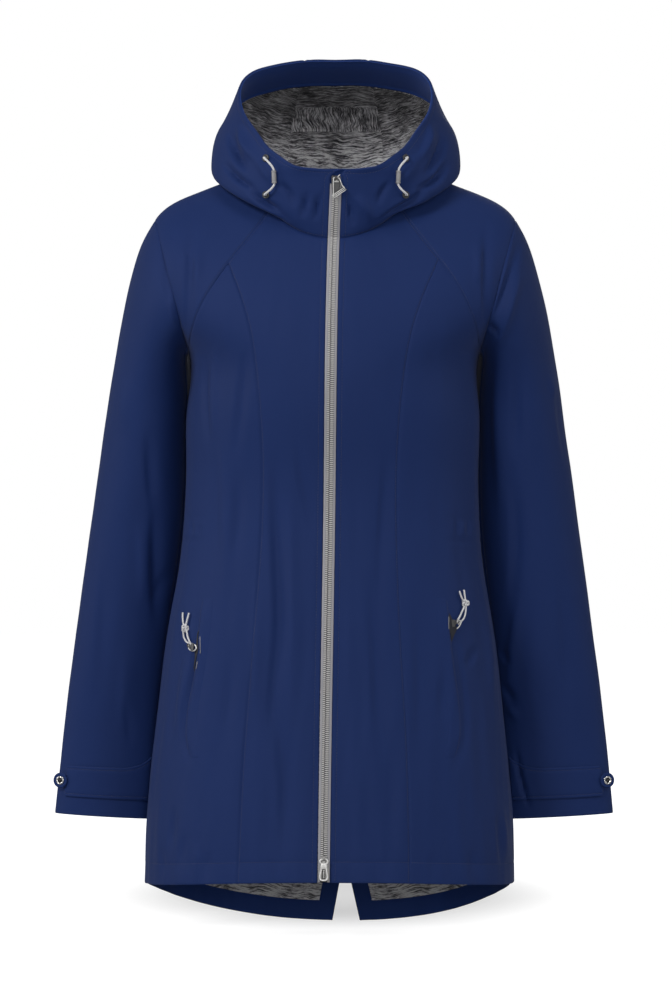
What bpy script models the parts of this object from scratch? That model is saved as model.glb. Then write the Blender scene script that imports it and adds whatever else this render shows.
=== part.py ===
"""Hooded raincoat, filled out as it hangs from a wearer's shoulders, with nobody in it.

Metres, +Z up, front towards -Y. Left and right are the wearer's, so left is +X. The origin is the
middle of the neck opening, level with the tops of the shoulders.

Three surfaces carry every piece of cloth. torso(turn, height) runs from the hem to the neck seam,
hood(turn, rise) from the neck seam to the hood's edge, and sleeve(side, round, down) from the
armhole to the cuff. A piece is a wall between two seams of one surface, and what lies on a piece
is made from the same surface, moved out along its normals.
"""

import math
from collections import namedtuple

import bmesh
import bpy
import numpy as np
from mathutils import Matrix, Vector

# Cloth
SHELL = 0.0015
LINING = 0.0010
TRIM = 0.0012
GAP = 0.0003
LOOSE = 0.0012
LINING_LOOSE = 0.0018

# Front edge and zip
ZIP_HALF_WIDTH = 0.0068
TAPE_HALF_WIDTH = 0.0064
TAPE = 0.0010
TAPE_TOP_RISE = 0.69

# Centre-back vent, hem and vent facings
VENT_TOP_Z = -0.728
VENT_HALF_WIDTH = 0.0158
HEM_FACING = 0.0235
VENT_FACING = 0.019
FACING_ABOVE_VENT = 0.014
FACING_INSET = 0.0006
FACING_GAP = 0.0007

# Hood
HOOD_SEAM = math.radians(157.5)
HOOD_ROWS = np.array((0.005, 0.10, 0.20, 0.27, 0.34, 0.42, 0.50, 0.58, 0.69, 0.71, 0.80, 0.90, 1.0))
HOOD_FACING = 0.050
FRONT_FACING = 0.026
RIM_FRONT_Y = -0.100
RIM_TOP_Y = 0.015

Ring = namedtuple(
    "Ring",
    "name side_z front_z back_z half_width front_depth back_depth roundness front_fall back_fall",
)
# The torso from hem to neck. Between armpit and shoulder the rings bulge past the armhole,
# which cuts them.
TORSO = [
    Ring(*row)
    for row in (
        ("hem", -0.7500, -0.7410, -0.8035, 0.2030, 0.150, 0.150, 2.20, 2.0, 1.45),
        ("hem_turn", -0.7000, -0.6950, -0.7450, 0.2016, 0.147, 0.148, 2.20, 2.0, 1.50),
        ("thigh", -0.6250, -0.6220, -0.6500, 0.1966, 0.141, 0.142, 2.20, 2.0, 1.60),
        ("hip", -0.5450, -0.5450, -0.5550, 0.1880, 0.134, 0.135, 2.20, 2.0, 1.80),
        ("high_hip", -0.4600, -0.4600, -0.4620, 0.1769, 0.127, 0.126, 2.20, 2.0, 2.0),
        ("below_waist", -0.4000, -0.4000, -0.4000, 0.1668, 0.121, 0.117, 2.20, 2.0, 2.0),
        ("waist", -0.3500, -0.3500, -0.3500, 0.1624, 0.117, 0.111, 2.20, 2.0, 2.0),
        ("rib", -0.2900, -0.2950, -0.2900, 0.1610, 0.119, 0.113, 2.20, 2.0, 2.0),
        ("bust", -0.2250, -0.2350, -0.2250, 0.1606, 0.127, 0.120, 2.20, 2.0, 2.0),
        ("armpit", -0.1680, -0.1900, -0.1720, 0.1600, 0.129, 0.123, 2.20, 2.0, 2.0),
        ("scye", -0.1250, -0.1600, -0.1350, 0.1880, 0.126, 0.124, 2.20, 1.9, 1.9),
        ("blade", -0.0750, -0.1330, -0.1000, 0.2050, 0.121, 0.122, 2.15, 1.7, 1.7),
        ("shoulder", -0.0215, -0.1090, -0.0620, 0.1980, 0.113, 0.115, 2.10, 1.5, 1.5),
        ("mid_shoulder", 0.0110, -0.0780, -0.0120, 0.1450, 0.101, 0.099, 2.10, 1.35, 1.35),
        ("neck", 0.0340, -0.0460, 0.0300, 0.0880, 0.086, 0.080, 2.10, 1.15, 1.15),
    )
]

# Offsets from the centre front line at each height: seams and pocket in the front view.
PRINCESS = (
    (-0.741, 0.0930),
    (-0.600, 0.0885),
    (-0.492, 0.0810),
    (-0.384, 0.0747),
    (-0.290, 0.0733),
    (-0.206, 0.0790),
    (-0.125, 0.0935),
    (-0.075, 0.1125),
)
YOKE_SEAM = (
    (-0.168, 0.1600),
    (-0.149, 0.1560),
    (-0.111, 0.1410),
    (-0.0855, 0.1255),
    (-0.057, 0.1040),
    (-0.016, 0.0735),
    (0.034, 0.0400),
)
POCKET = (
    (-0.620, 0.1420),
    (-0.595, 0.1480),
    (-0.547, 0.1468),
    (-0.510, 0.1410),
    (-0.475, 0.1365),
    (-0.430, 0.1330),
)
POCKET_SHIFT = 0.0035
POCKET_TOP_Z = -0.434
POCKET_BOTTOM_Z = -0.612
WELT_WIDTH = 0.0145
WELT_LIFT = 0.0021
POCKET_ZIP_WIDTH = 0.0042
# Where the middle of the body, the front edge and the back seam hang at each height.
MIDDLE = ((-0.80, -0.0055), (-0.545, -0.0044), (-0.35, -0.0028), (-0.15, 0.0004), (0.0, 0.0016), (0.16, 0.0026))
CENTRE_FRONT = (
    (-0.741, -0.0111),
    (-0.545, -0.0084),
    (-0.330, -0.0049),
    (-0.114, -0.0023),
    (-0.059, -0.0008),
    (0.030, 0.0030),
)
CENTRE_BACK = ((-0.803, 0.0136), (-0.762, 0.0127), (-0.650, 0.0090), (-0.450, 0.0020), (-0.220, 0.0), (0.16, 0.0026))

HoodRing = namedtuple(
    "HoodRing", "name rise half_width side_y side_z front_y front_z back_y back_z roundness fall"
)
# The hood between the neck seam and its edge. It rests on the shoulders before it rises.
HOOD = [
    HoodRing(*row)
    for row in (
        ("lift", 0.10, 0.1085, 0.001, 0.0340, -0.0884, -0.0370, 0.1000, 0.019, 2.10, 1.20),
        ("rest", 0.20, 0.1270, 0.002, 0.0255, -0.0905, -0.028, 0.119, -0.004, 2.10, 1.30),
        ("swell", 0.42, 0.1370, 0.010, 0.0450, -0.0945, -0.008, 0.158, 0.030, 2.10, 1.20),
        ("crown", 0.68, 0.1297, 0.018, 0.0780, -0.0985, 0.012, 0.150, 0.083, 2.15, 1.15),
    )
]
# Half of the hood's edge in the front view: turn in degrees, half width, height.
RIM = (
    (0, 0.0000, 0.0285),
    (28, 0.0436, 0.0310),
    (41, 0.0600, 0.0416),
    (54, 0.0752, 0.0541),
    (66, 0.0863, 0.0693),
    (78, 0.0967, 0.0834),
    (90, 0.1048, 0.0998),
    (101, 0.1068, 0.1184),
    (110, 0.1028, 0.1322),
    (122, 0.0890, 0.1440),
    (136, 0.0685, 0.1503),
    (158, 0.0345, 0.1556),
    (180, 0.0000, 0.1560),
)

SleeveRing = namedtuple(
    "SleeveRing", "name down outer_x outer_z inner_x inner_z middle_y half_depth"
)
# The sleeve from the armhole to the cuff: where each ring meets the front view's two outlines.
SLEEVE = [
    SleeveRing(*row)
    for row in (
        ("armhole", 0.00, 0.1980, -0.0215, 0.1600, -0.1680, 0.004, 0.068),
        ("head", 0.04, 0.2105, -0.0430, 0.1616, -0.1712, 0.009, 0.072),
        ("cap", 0.10, 0.2243, -0.0830, 0.1622, -0.1770, 0.018, 0.074),
        ("upper", 0.21, 0.2392, -0.1500, 0.1604, -0.1940, 0.034, 0.074),
        ("biceps", 0.33, 0.2505, -0.2200, 0.1586, -0.2260, 0.044, 0.070),
        ("above_elbow", 0.45, 0.2612, -0.2930, 0.1592, -0.2950, 0.049, 0.062),
        ("elbow", 0.56, 0.2715, -0.3640, 0.1620, -0.3640, 0.052, 0.054),
        ("forearm", 0.68, 0.2822, -0.4420, 0.1715, -0.4430, 0.055, 0.046),
        ("lower", 0.80, 0.2928, -0.5220, 0.1815, -0.5240, 0.058, 0.038),
        ("wrist", 0.92, 0.3027, -0.6020, 0.1895, -0.6050, 0.061, 0.031),
        ("cuff", 1.00, 0.3103, -0.6775, 0.1940, -0.6840, 0.063, 0.027),
    )
]
ARMHOLE_FADE = 0.33
SLEEVE_EASE = 0.0014
FRONT_SEAM = math.radians(157.5)
BACK_SEAM = math.radians(292.5)

# Cuff tabs and snaps
TAB_TOP = 0.945
TAB_BOTTOM = 0.980
TAB_FLARE = 0.014
TAB_START = math.radians(149)
TAB_END = math.radians(33)
TAB_CORNER = 0.007
SNAP_AT = math.radians(26)
SNAP_RADIUS = 0.0084
SNAP_RING_RADIUS = 0.0048
SNAP_HEIGHT = 0.0014
SNAP_LIFT = 0.0052

# Cords and their fittings
CORD_RADIUS = 0.0012
EYELET_RADIUS = 0.0032
EYELET_WIRE = 0.0010
EYELET_X = 0.0755
UPPER_EYELET_Z = 0.0410
LOWER_EYELET_Z = 0.0012
TOGGLE_X = 0.0655
TOGGLE_Z = 0.0203
TOGGLE_LENGTH = 0.0140
TOGGLE_RADIUS = 0.0027
TOGGLE_BORE = 0.0016
LOOP_RADIUS = 0.0009

# Zip sliders and pulls
SLIDER_PLATE = 0.0016
SLIDER_LIFT = 0.0004
PIN_OUT = 0.0036
CROWN_INNER = 0.0016
CROWN_OUTER = 0.0025
CROWN_WIDTH = 0.0030
PULL_THICKNESS = 0.0014
TOP_PIN_Z = 0.0185
TOP_PULL_TILT = math.radians(17)
BOTTOM_PIN_Z = -0.7150

NAVY = ((0.013, 0.026, 0.112), 0.62, 0.0)
FACING_NAVY = ((0.008, 0.014, 0.065), 0.7, 0.0)
MELANGE = ((0.075, 0.076, 0.082), 0.9, 0.0)
TAPE_GREY = ((0.30, 0.295, 0.305), 0.6, 0.0)
SILVER = ((0.62, 0.61, 0.60), 0.28, 1.0)
CORD_GREY = ((0.50, 0.50, 0.52), 0.7, 0.0)
RUBBER_GREY = ((0.33, 0.33, 0.35), 0.5, 0.0)


def weights(keys, at):
    """How much each row counts at each place, on a natural cubic spline through rows at keys."""
    keys = np.asarray(keys, float)
    at = np.asarray(at, float)
    count = len(keys)
    step = np.diff(keys)
    rows = np.eye(count)
    bend, pull = np.eye(count), np.zeros((count, count))
    for i in range(1, count - 1):
        bend[i, i - 1 : i + 2] = step[i - 1], 2 * (step[i - 1] + step[i]), step[i]
        pull[i] = 6 * ((rows[i + 1] - rows[i]) / step[i] - (rows[i] - rows[i - 1]) / step[i - 1])
    curve = np.linalg.solve(bend, pull)
    i = np.clip(np.searchsorted(keys, at) - 1, 0, count - 2)
    size = step[i][..., None]
    after = (at - keys[i])[..., None] / size
    before = 1 - after
    straight = before * rows[i] + after * rows[i + 1]
    return straight + ((before**3 - before) * curve[i] + (after**3 - after) * curve[i + 1]) * size**2 / 6


def spline(rows, at):
    """A smooth curve through rows of (key, value), straight beyond its ends."""
    rows = np.array(rows, float)
    keys, values = rows.T
    inside = np.clip(at, keys[0], keys[-1])
    start, end = (values[1] - values[0]) / (keys[1] - keys[0]), (values[-1] - values[-2]) / (keys[-1] - keys[-2])
    beyond = np.asarray(at) - inside
    return weights(keys, inside) @ values + beyond * np.where(beyond < 0, start, end)


def unit(vectors):
    return vectors / np.maximum(np.linalg.norm(vectors, axis=-1, keepdims=True), 1e-12)


def ring_heights():
    """Each torso ring's share of the way from hem to neck, by the mean of side and front."""
    along = [0.0]
    for low, high in zip(TORSO, TORSO[1:]):
        side = math.hypot(high.side_z - low.side_z, high.half_width - low.half_width)
        front = math.hypot(high.front_z - low.front_z, high.front_depth - low.front_depth)
        along.append(along[-1] + (side + front) / 2)
    return np.array(along) / along[-1]


HEIGHTS = ring_heights()
HEIGHT = {ring.name: float(height) for ring, height in zip(TORSO, HEIGHTS)}
TORSO_SIZES = np.array([ring[1:] for ring in TORSO], float)


def level(z):
    """The height at which the torso's side is at z."""
    return np.interp(z, TORSO_SIZES[:, 0], HEIGHTS)


def torso(turn, height):
    """Rounded rings from hem to neck. turn is 0 at the centre front and +-pi at the back."""
    turn, height = np.broadcast_arrays(np.asarray(turn, float), np.asarray(height, float))
    sizes = weights(HEIGHTS, height) @ TORSO_SIZES
    sizes = np.moveaxis(sizes, -1, 0)
    side_z, front_z, back_z, half_width, front_depth, back_depth, roundness, front_fall, back_fall = sizes
    across, along = np.sin(turn), np.cos(turn)
    reach = np.abs(along)
    power = 2 / roundness
    front = along > 0
    x = half_width * np.sign(across) * np.abs(across) ** power
    y = np.where(front, -front_depth, back_depth) * reach**power
    drop = np.where(front, (front_z - side_z) * reach**front_fall, (back_z - side_z) * reach**back_fall)
    z = side_z + drop
    middle = spline(MIDDLE, z)
    centre = np.where(front, spline(CENTRE_FRONT, z), spline(CENTRE_BACK, z))
    return np.stack((x + middle + (centre - middle) * along**2, y, z), -1)


def hood_oval(turn, ring):
    """One ring of the hood: an oval whose height changes from front to side to back."""
    across, along = np.sin(turn), np.cos(turn)
    reach = np.abs(along)
    front = along > 0
    x = ring.half_width * np.sign(across) * np.abs(across) ** (2 / ring.roundness)
    y = ring.side_y + np.where(front, ring.front_y - ring.side_y, ring.back_y - ring.side_y) * reach ** (
        2 / ring.roundness
    )
    z = ring.side_z + np.where(front, ring.front_z - ring.side_z, ring.back_z - ring.side_z) * reach**ring.fall
    return np.stack((x, y, z), -1)


def rim(turn):
    """The hood's edge: its outline in the front view, sloping back from the chin to the top."""
    turn = (np.asarray(turn, float) + math.pi) % (2 * math.pi) - math.pi
    rows = np.array(RIM, float)
    keys = np.radians(rows[:, 0])
    keys = np.concatenate(([-keys[1]], keys, [2 * math.pi - keys[-2]]))
    half_width = np.concatenate(([-rows[1, 1]], rows[:, 1], [-rows[-2, 1]]))
    height = np.concatenate(([rows[1, 2]], rows[:, 2], [rows[-2, 2]]))
    share = weights(keys, np.abs(turn))
    z = share @ height
    slope = (z - RIM[0][2]) / (RIM[-1][2] - RIM[0][2])
    y = RIM_FRONT_Y + (RIM_TOP_Y - RIM_FRONT_Y) * slope
    return np.stack((np.sign(turn) * (share @ half_width), y, z), -1)


def hood(turn, rise):
    """From the neck seam through the hood's rings to its edge. turn is as on the torso."""
    turn, rise = np.broadcast_arrays(np.asarray(turn, float), np.asarray(rise, float))
    rings = [hood_oval(turn, ring) for ring in HOOD] + [rim(turn)]
    front = np.cos(turn) > 0
    for ring in rings:
        middle = spline(MIDDLE, ring[..., 2])
        centre = np.where(front, spline(CENTRE_FRONT, np.minimum(ring[..., 2], 0.03)), middle)
        ring[..., 0] += middle + (centre - middle) * np.cos(turn) ** 2
    rings = np.stack([torso(turn, 1.0), *rings], -2)
    share = weights([0.0, *(ring.rise for ring in HOOD), 1.0], rise)
    return (share[..., None] * rings).sum(-2)


def turn_where(surface, along, side, beyond, back=False):
    """The turn at which beyond(point) becomes true, going from the centre to the side."""
    along = np.asarray(along, float)
    low, high = np.zeros_like(along), np.full_like(along, math.pi / 2)
    for _ in range(36):
        middle = (low + high) / 2
        past = beyond(surface(side * (math.pi - middle if back else middle), along))
        low, high = np.where(past, low, middle), np.where(past, middle, high)
    return side * (math.pi - high if back else high)


def off_front(side, rows, more=0.0):
    """True past a front line whose distance from the centre front is given by rows or a number."""

    def beyond(point):
        line = spline(rows, point[..., 2]) if isinstance(rows, tuple) else rows
        return side * (point[..., 0] - spline(CENTRE_FRONT, point[..., 2])) > line + more

    return beyond


def off_middle(side, rows, more=0.0):
    """True past a line whose distance from the middle of the body is given by rows."""
    return lambda point: side * (point[..., 0] - spline(MIDDLE, point[..., 2])) > spline(rows, point[..., 2]) + more


def off_back(side, distance):
    """True past a line at distance(z) from the centre back."""
    return lambda point: side * (point[..., 0] - spline(CENTRE_BACK, point[..., 2])) > distance(point[..., 2])


def past_armhole(side, more=0.0):
    """True past the armhole's plane, which leans in from the shoulder to the armpit."""
    armpit, shoulder = TORSO[9], TORSO[12]
    lean = (shoulder.half_width - armpit.half_width) / (shoulder.side_z - armpit.side_z)

    def beyond(point):
        plane = armpit.half_width + (point[..., 2] - armpit.side_z) * lean
        return side * (point[..., 0] - spline(MIDDLE, point[..., 2])) > plane + more

    return beyond


def vent_edge(z):
    """Half of the vent's width, closing to a seam at its top."""
    open_share = np.clip((VENT_TOP_Z - z) / (VENT_TOP_Z - TORSO[0].back_z), 0, 1)
    return GAP / 2 + VENT_HALF_WIDTH * open_share


def armhole(side, around):
    """The armhole's edge on the torso. round is 0 at the shoulder, pi/2 in front, pi at the armpit."""
    around = np.asarray(around, float) % (2 * math.pi)
    height = HEIGHT["shoulder"] + (HEIGHT["armpit"] - HEIGHT["shoulder"]) * (1 - np.cos(around)) / 2
    front = turn_where(torso, height, side, past_armhole(side))
    back = turn_where(torso, height, side, past_armhole(side), back=True)
    return torso(np.where(around <= math.pi, front, back), height)


SLEEVE_SIZES = np.array([ring[2:] for ring in SLEEVE], float)
SLEEVE_KEYS = [ring.down for ring in SLEEVE]


def sleeve_oval(side, around, down):
    """An oval between the sleeve's two front outlines, as deep as its table says."""
    sizes = weights(SLEEVE_KEYS, down) @ SLEEVE_SIZES
    outer_x, outer_z, inner_x, inner_z, middle_y, half_depth = np.moveaxis(sizes, -1, 0)
    outer_x = side * outer_x + 0.0016 * (1 + outer_z / 0.68)
    inner_x = side * inner_x + spline(MIDDLE, inner_z)
    share = (1 + np.cos(around)) / 2
    return np.stack(
        (
            inner_x + (outer_x - inner_x) * share,
            middle_y - half_depth * np.sin(around),
            inner_z + (outer_z - inner_z) * share,
        ),
        -1,
    )


def sleeve(side, around, down):
    """The sleeve: it starts on the armhole's own edge and turns into plain ovals further down."""
    around, down = np.broadcast_arrays(np.asarray(around, float), np.asarray(down, float))
    fade = (np.clip(1 - down / ARMHOLE_FADE, 0, 1) ** 2)[..., None]
    start = armhole(side, around) - sleeve_oval(side, around, np.zeros_like(around))
    return sleeve_oval(side, around, down) + start * fade


def normals(surface, across, along, flip=1.0, step=2e-4):
    """Unit normals of a surface, from small steps both ways."""
    one = surface(across + step, along) - surface(across - step, along)
    two = surface(across, along + step) - surface(across, along - step)
    return flip * unit(np.cross(one, two))


def finish(name, mesh, look):
    """Makes the named object, with its own material."""
    colour, roughness, metallic = look
    material = bpy.data.materials.new(name)
    material.use_nodes = True
    shader = material.node_tree.nodes["Principled BSDF"]
    shader.inputs["Base Color"].default_value = (*colour, 1)
    shader.inputs["Roughness"].default_value = roughness
    shader.inputs["Metallic"].default_value = metallic
    mesh.name = name
    mesh.materials.append(material)
    mesh.shade_smooth()
    mesh.set_sharp_from_angle(angle=math.radians(35))
    obj = bpy.data.objects.new(name, mesh)
    bpy.data.collections["hooded_raincoat"].objects.link(obj)
    return obj


def wall(name, points, outward, thickness, look, lift=0.0):
    """A closed wall of cloth. Its outer face is points moved out by lift, and equal points merge."""
    outer = points + outward * lift
    inner = outer - outward * thickness
    rows, columns = points.shape[:2]
    mesh = bmesh.new()
    layers = [[[mesh.verts.new(p) for p in row] for row in layer] for layer in (outer, inner)]
    for layer in layers:
        for i in range(rows - 1):
            for j in range(columns - 1):
                mesh.faces.new((layer[i][j], layer[i][j + 1], layer[i + 1][j + 1], layer[i + 1][j]))
    edge = [(i, 0) for i in range(rows)] + [(rows - 1, j) for j in range(1, columns)]
    edge += [(i, columns - 1) for i in range(rows - 2, -1, -1)] + [(0, j) for j in range(columns - 2, 0, -1)]
    for (i, j), (k, m) in zip(edge, edge[1:] + edge[:1]):
        mesh.faces.new((layers[0][i][j], layers[0][k][m], layers[1][k][m], layers[1][i][j]))
    bmesh.ops.remove_doubles(mesh, verts=mesh.verts, dist=1e-6)
    bmesh.ops.recalc_face_normals(mesh, faces=mesh.faces)
    if mesh.calc_volume(signed=True) < 0:
        bmesh.ops.reverse_faces(mesh, faces=mesh.faces)
    data = bpy.data.meshes.new(name)
    mesh.to_mesh(data)
    mesh.free()
    return finish(name, data, look)


def between(low, high, count):
    """Count + 1 columns between two edges that are given for each row."""
    low, high = np.broadcast_arrays(np.asarray(low, float), np.asarray(high, float))
    return low[:, None] + (high - low)[:, None] * np.linspace(0, 1, count + 1)


def inside_of(grid, outward, row_keys, column_keys, depth):
    """Reads places between a panel's own vertices, moved in from its outer face by depth."""
    layer = grid - outward * depth

    def at(rows, columns):
        rows, columns = np.broadcast_arrays(rows, columns)
        i = np.clip(np.searchsorted(row_keys, rows) - 1, 0, len(row_keys) - 2)
        j = np.clip(np.searchsorted(column_keys, columns) - 1, 0, len(column_keys) - 2)
        u = ((rows - row_keys[i]) / (row_keys[i + 1] - row_keys[i]))[..., None]
        v = ((columns - column_keys[j]) / (column_keys[j + 1] - column_keys[j]))[..., None]
        low = layer[i, j] * (1 - v) + layer[i, j + 1] * v
        high = layer[i + 1, j] * (1 - v) + layer[i + 1, j + 1] * v
        return low * (1 - u) + high * u

    return at


def side_name(side):
    return "left" if side > 0 else "right"


def seam_normals(first, second, hint, weight):
    """The shared direction of two cloths that meet at a crease, so that their walls mitre."""
    return unit(first + second + weight * hint)


def neck_normals(turn):
    """Shared normals along the neck seam, where the hood folds over the shoulders."""
    ones = np.ones_like(turn)
    out = np.stack((np.sin(turn), -np.cos(turn), 0 * turn), -1)
    return seam_normals(normals(torso, turn, ones), normals(hood, turn, 0 * ones), out, 0.6)


def armhole_normals(side, around):
    """Shared normals along the armhole."""
    height = HEIGHT["shoulder"] + (HEIGHT["armpit"] - HEIGHT["shoulder"]) * (1 - np.cos(around)) / 2
    front = turn_where(torso, height, side, past_armhole(side))
    back = turn_where(torso, height, side, past_armhole(side), back=True)
    turn = np.where(np.sin(around) >= 0, front, back)
    body = normals(torso, turn, height)
    arm = normals(lambda u, v: sleeve(side, u, v), around, 0 * around + 0.004, side)
    down = np.array((0.0, 0.0, -1.0)) * (1 - np.cos(around))[..., None] / 2
    return seam_normals(body, arm, down, 0.5)


def torso_panel(
    name, heights, low, high, columns, look=NAVY, thickness=SHELL, lift=0.0, to_neck=False, at_side=None
):
    """A panel of the torso between two seams."""
    turns = between(low, high, columns)
    rows = np.broadcast_to(heights[:, None], turns.shape)
    outward = normals(torso, turns, rows)
    if at_side is not None:
        outward[at_side, -1] = side_normals(heights[at_side], np.sign(turns[0, -1]))
    if to_neck:
        outward[-1] = neck_normals(turns[-1])
    return wall(name, torso(turns, rows), outward, thickness, look, lift)


def panel_rows(side, first, last):
    """The torso's rows from first to last. All its panels share them, so that seams match."""
    shoulder = np.linspace(HEIGHT["shoulder"], NECK_EDGE, 5)[1:]
    rows = np.concatenate((BODY_ROWS, armhole_rows(ARM_COUNT), shoulder, (seam_crossing(side),)))
    rows = np.sort(rows)
    return rows[(rows > first - 1e-6) & (rows < last + 1e-6)]


def rows_between(*stops):
    """Heights through named stops, each followed by the number of rows up to the next."""
    rows = [stops[0]]
    for count, stop in zip(stops[1::2], stops[2::2]):
        rows.extend(np.linspace(rows[-1], stop, count + 1)[1:])
    return np.array(rows)


def armhole_rows(count):
    """Heights from armpit to shoulder, close together at both, as the armhole is round there."""
    share = (1 - np.cos(np.linspace(0, math.pi, count + 1))) / 2
    return HEIGHT["armpit"] + (HEIGHT["shoulder"] - HEIGHT["armpit"]) * share


NECK_EDGE = 1 - 0.0006
BODY_ROWS = np.linspace(0, HEIGHT["armpit"], 9)[:-1]
ARM_COUNT = 8
SIDE_EASE = 0.0016
ARMHOLE_INSET = 0.0004
SEAM_HALF_GAP = 0.00025


def seam_crossing(side):
    """The height at which the princess seam runs into the yoke seam."""
    low, high = HEIGHT["armpit"], 1.0
    for _ in range(30):
        middle = np.array([(low + high) / 2])
        princess = abs(turn_where(torso, middle, side, off_front(side, PRINCESS))[0])
        yoke = abs(turn_where(torso, middle, side, off_middle(side, YOKE_SEAM))[0])
        low, high = (middle[0], high) if princess < yoke else (low, middle[0])
    return low


def armhole_edge(rows, side, back=False):
    """Turns along the side: the side seam, then the armhole, then the shoulder line."""
    turns = np.full_like(rows, side * (math.pi / 2 + (SIDE_EASE if back else -SIDE_EASE)))
    inside = (rows > HEIGHT["armpit"] + 1e-6) & (rows < HEIGHT["shoulder"] - 1e-6)
    turns[inside] = turn_where(torso, rows[inside], side, past_armhole(side, -ARMHOLE_INSET), back)
    return turns, inside


def side_normals(rows, side):
    """Shared normals along the side seam and the shoulder line."""
    return normals(torso, np.full_like(rows, side * math.pi / 2), rows)


def armhole_angle(rows, back=False):
    """The angle round the armhole at each height."""
    share = (rows - HEIGHT["armpit"]) / (HEIGHT["shoulder"] - HEIGHT["armpit"])
    return np.arccos(np.clip(share * 2 - 1, -1, 1)) * (-1 if back else 1)


def make_fronts(side):
    """Centre front, side front and yoke of one side."""
    half_gap = SEAM_HALF_GAP
    crossing = seam_crossing(side)

    rows = panel_rows(side, 0, 1)
    zip_edge = turn_where(torso, rows, side, off_front(side, ZIP_HALF_WIDTH))
    princess = turn_where(torso, rows, side, off_front(side, PRINCESS, -half_gap))
    yoke = turn_where(torso, rows, side, off_middle(side, YOKE_SEAM, -half_gap))
    outer = side * np.minimum(np.abs(princess), np.abs(yoke))
    torso_panel(f"front_{side_name(side)}", rows, zip_edge, outer, 4, to_neck=True)

    rows = panel_rows(side, 0, crossing)
    inner = turn_where(torso, rows, side, off_front(side, PRINCESS, half_gap))
    yoke = turn_where(torso, rows, side, off_middle(side, YOKE_SEAM, -half_gap))
    outer = side * np.minimum(np.abs(yoke), math.pi / 2 - SIDE_EASE)
    inner = np.where(np.abs(inner) > np.abs(outer), outer, inner)
    at_side = rows < HEIGHT["armpit"] + 1e-6
    torso_panel(f"side_front_{side_name(side)}", rows, inner, outer, 5, at_side=at_side)

    rows = panel_rows(side, HEIGHT["armpit"], 1)
    inner = turn_where(torso, rows, side, off_middle(side, YOKE_SEAM, half_gap))
    outer, at_arm = armhole_edge(rows, side)
    inner[0] = outer[0]
    turns = between(inner, outer, 4)
    heights = np.broadcast_to(rows[:, None], turns.shape)
    outward = normals(torso, turns, heights)
    outward[~at_arm, -1] = side_normals(rows[~at_arm], side)
    outward[at_arm, -1] = armhole_normals(side, armhole_angle(rows[at_arm]))
    outward[-1] = neck_normals(turns[-1])
    wall(f"yoke_{side_name(side)}", torso(turns, heights), outward, SHELL, NAVY)


def make_back(side):
    """One back, with its half of the vent."""
    rows = panel_rows(side, 0, 1)
    inner = turn_where(torso, rows, side, off_back(side, vent_edge), back=True)
    outer, at_arm = armhole_edge(rows, side, back=True)
    turns = between(outer, inner, 8)
    heights = np.broadcast_to(rows[:, None], turns.shape)
    outward = normals(torso, turns, heights)
    outward[~at_arm, 0] = side_normals(rows[~at_arm], side)
    outward[at_arm, 0] = armhole_normals(side, armhole_angle(rows[at_arm], back=True))
    outward[-1] = neck_normals(turns[-1])
    wall(f"back_{side_name(side)}", torso(turns, heights), outward, SHELL, NAVY)


def make_back_inside(side):
    """The hem and vent facing of one back, and the lining above it."""
    rows = panel_rows(side, 0, HEIGHT["armpit"])
    start = side * (math.pi / 2 + SIDE_EASE)
    edge = turn_where(torso, rows, side, off_back(side, vent_edge), back=True)
    columns = np.linspace(0, 1, 9)
    turns = start + (edge - start)[:, None] * columns
    heights = np.broadcast_to(rows[:, None], turns.shape)
    outward = normals(torso, turns, heights)
    under = inside_of(torso(turns, heights), outward, rows, columns, SHELL + LOOSE)

    def share(along, distance):
        """How far across the panel a line beside the vent is."""
        line = turn_where(torso, along, side, off_back(side, lambda z: vent_edge(z) + distance), back=True)
        return (line - start) / (np.interp(along, rows, edge) - start)

    top = rows[1] + FACING_ABOVE_VENT
    up = np.array((FACING_INSET, HEM_FACING, (HEM_FACING + rows[1]) / 2, rows[1], top))
    inner_up = up + np.array((HEM_FACING - FACING_INSET, 0.010, 0.004, 0, 0))
    across = columns[:-1]
    outer = np.stack((np.append(0 * across + FACING_INSET, up), np.append(across, share(up, FACING_INSET))), -1)
    inner = np.stack(
        (np.append(0 * across + HEM_FACING, inner_up), np.append(across, share(inner_up, VENT_FACING))), -1
    )
    grid = np.stack((outer, (outer + inner) / 2, inner), 1)
    at, over = grid[..., 0], grid[..., 1]
    place = normals(torso, start + (np.interp(at, rows, edge) - start) * over, at)
    wall(f"back_facing_{side_name(side)}", under(at, over), place, LINING, FACING_NAVY)

    at = np.array((HEM_FACING + FACING_GAP, rows[1], top, rows[2], rows[3]))
    over = between(0 * at, share(at, VENT_FACING + FACING_GAP), 8)
    over[:, 1:-1] = np.minimum(columns[1:-1], over[:, -1:] - 0.01 * np.arange(7, 0, -1))
    at = np.broadcast_to(at[:, None], over.shape)
    place = normals(torso, start + (np.interp(at, rows, edge) - start) * over, at)
    wall(f"back_lining_{side_name(side)}", under(at, over), place, LINING, MELANGE)


def rise_below_rim(turn, distance):
    """The rise at which the hood's cloth is that far below its edge, measured along the cloth."""
    rises = np.linspace(0, 1, 81)
    path = hood(np.asarray(turn, float)[:, None], rises[None, :])
    steps = np.linalg.norm(np.diff(path, axis=1), axis=-1)
    below = np.cumsum(steps[:, ::-1], axis=1)
    below = np.concatenate((np.zeros((len(turn), 1)), below), axis=1)
    return np.array([np.interp(d, row, rises[::-1]) for d, row in zip(distance, below)])


def off_hood_front(side, distance):
    """True past a line beside the hood's centre front."""

    def beyond(point):
        return side * (point[..., 0] - spline(CENTRE_FRONT, np.minimum(point[..., 2], 0.03))) > distance

    return beyond


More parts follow.
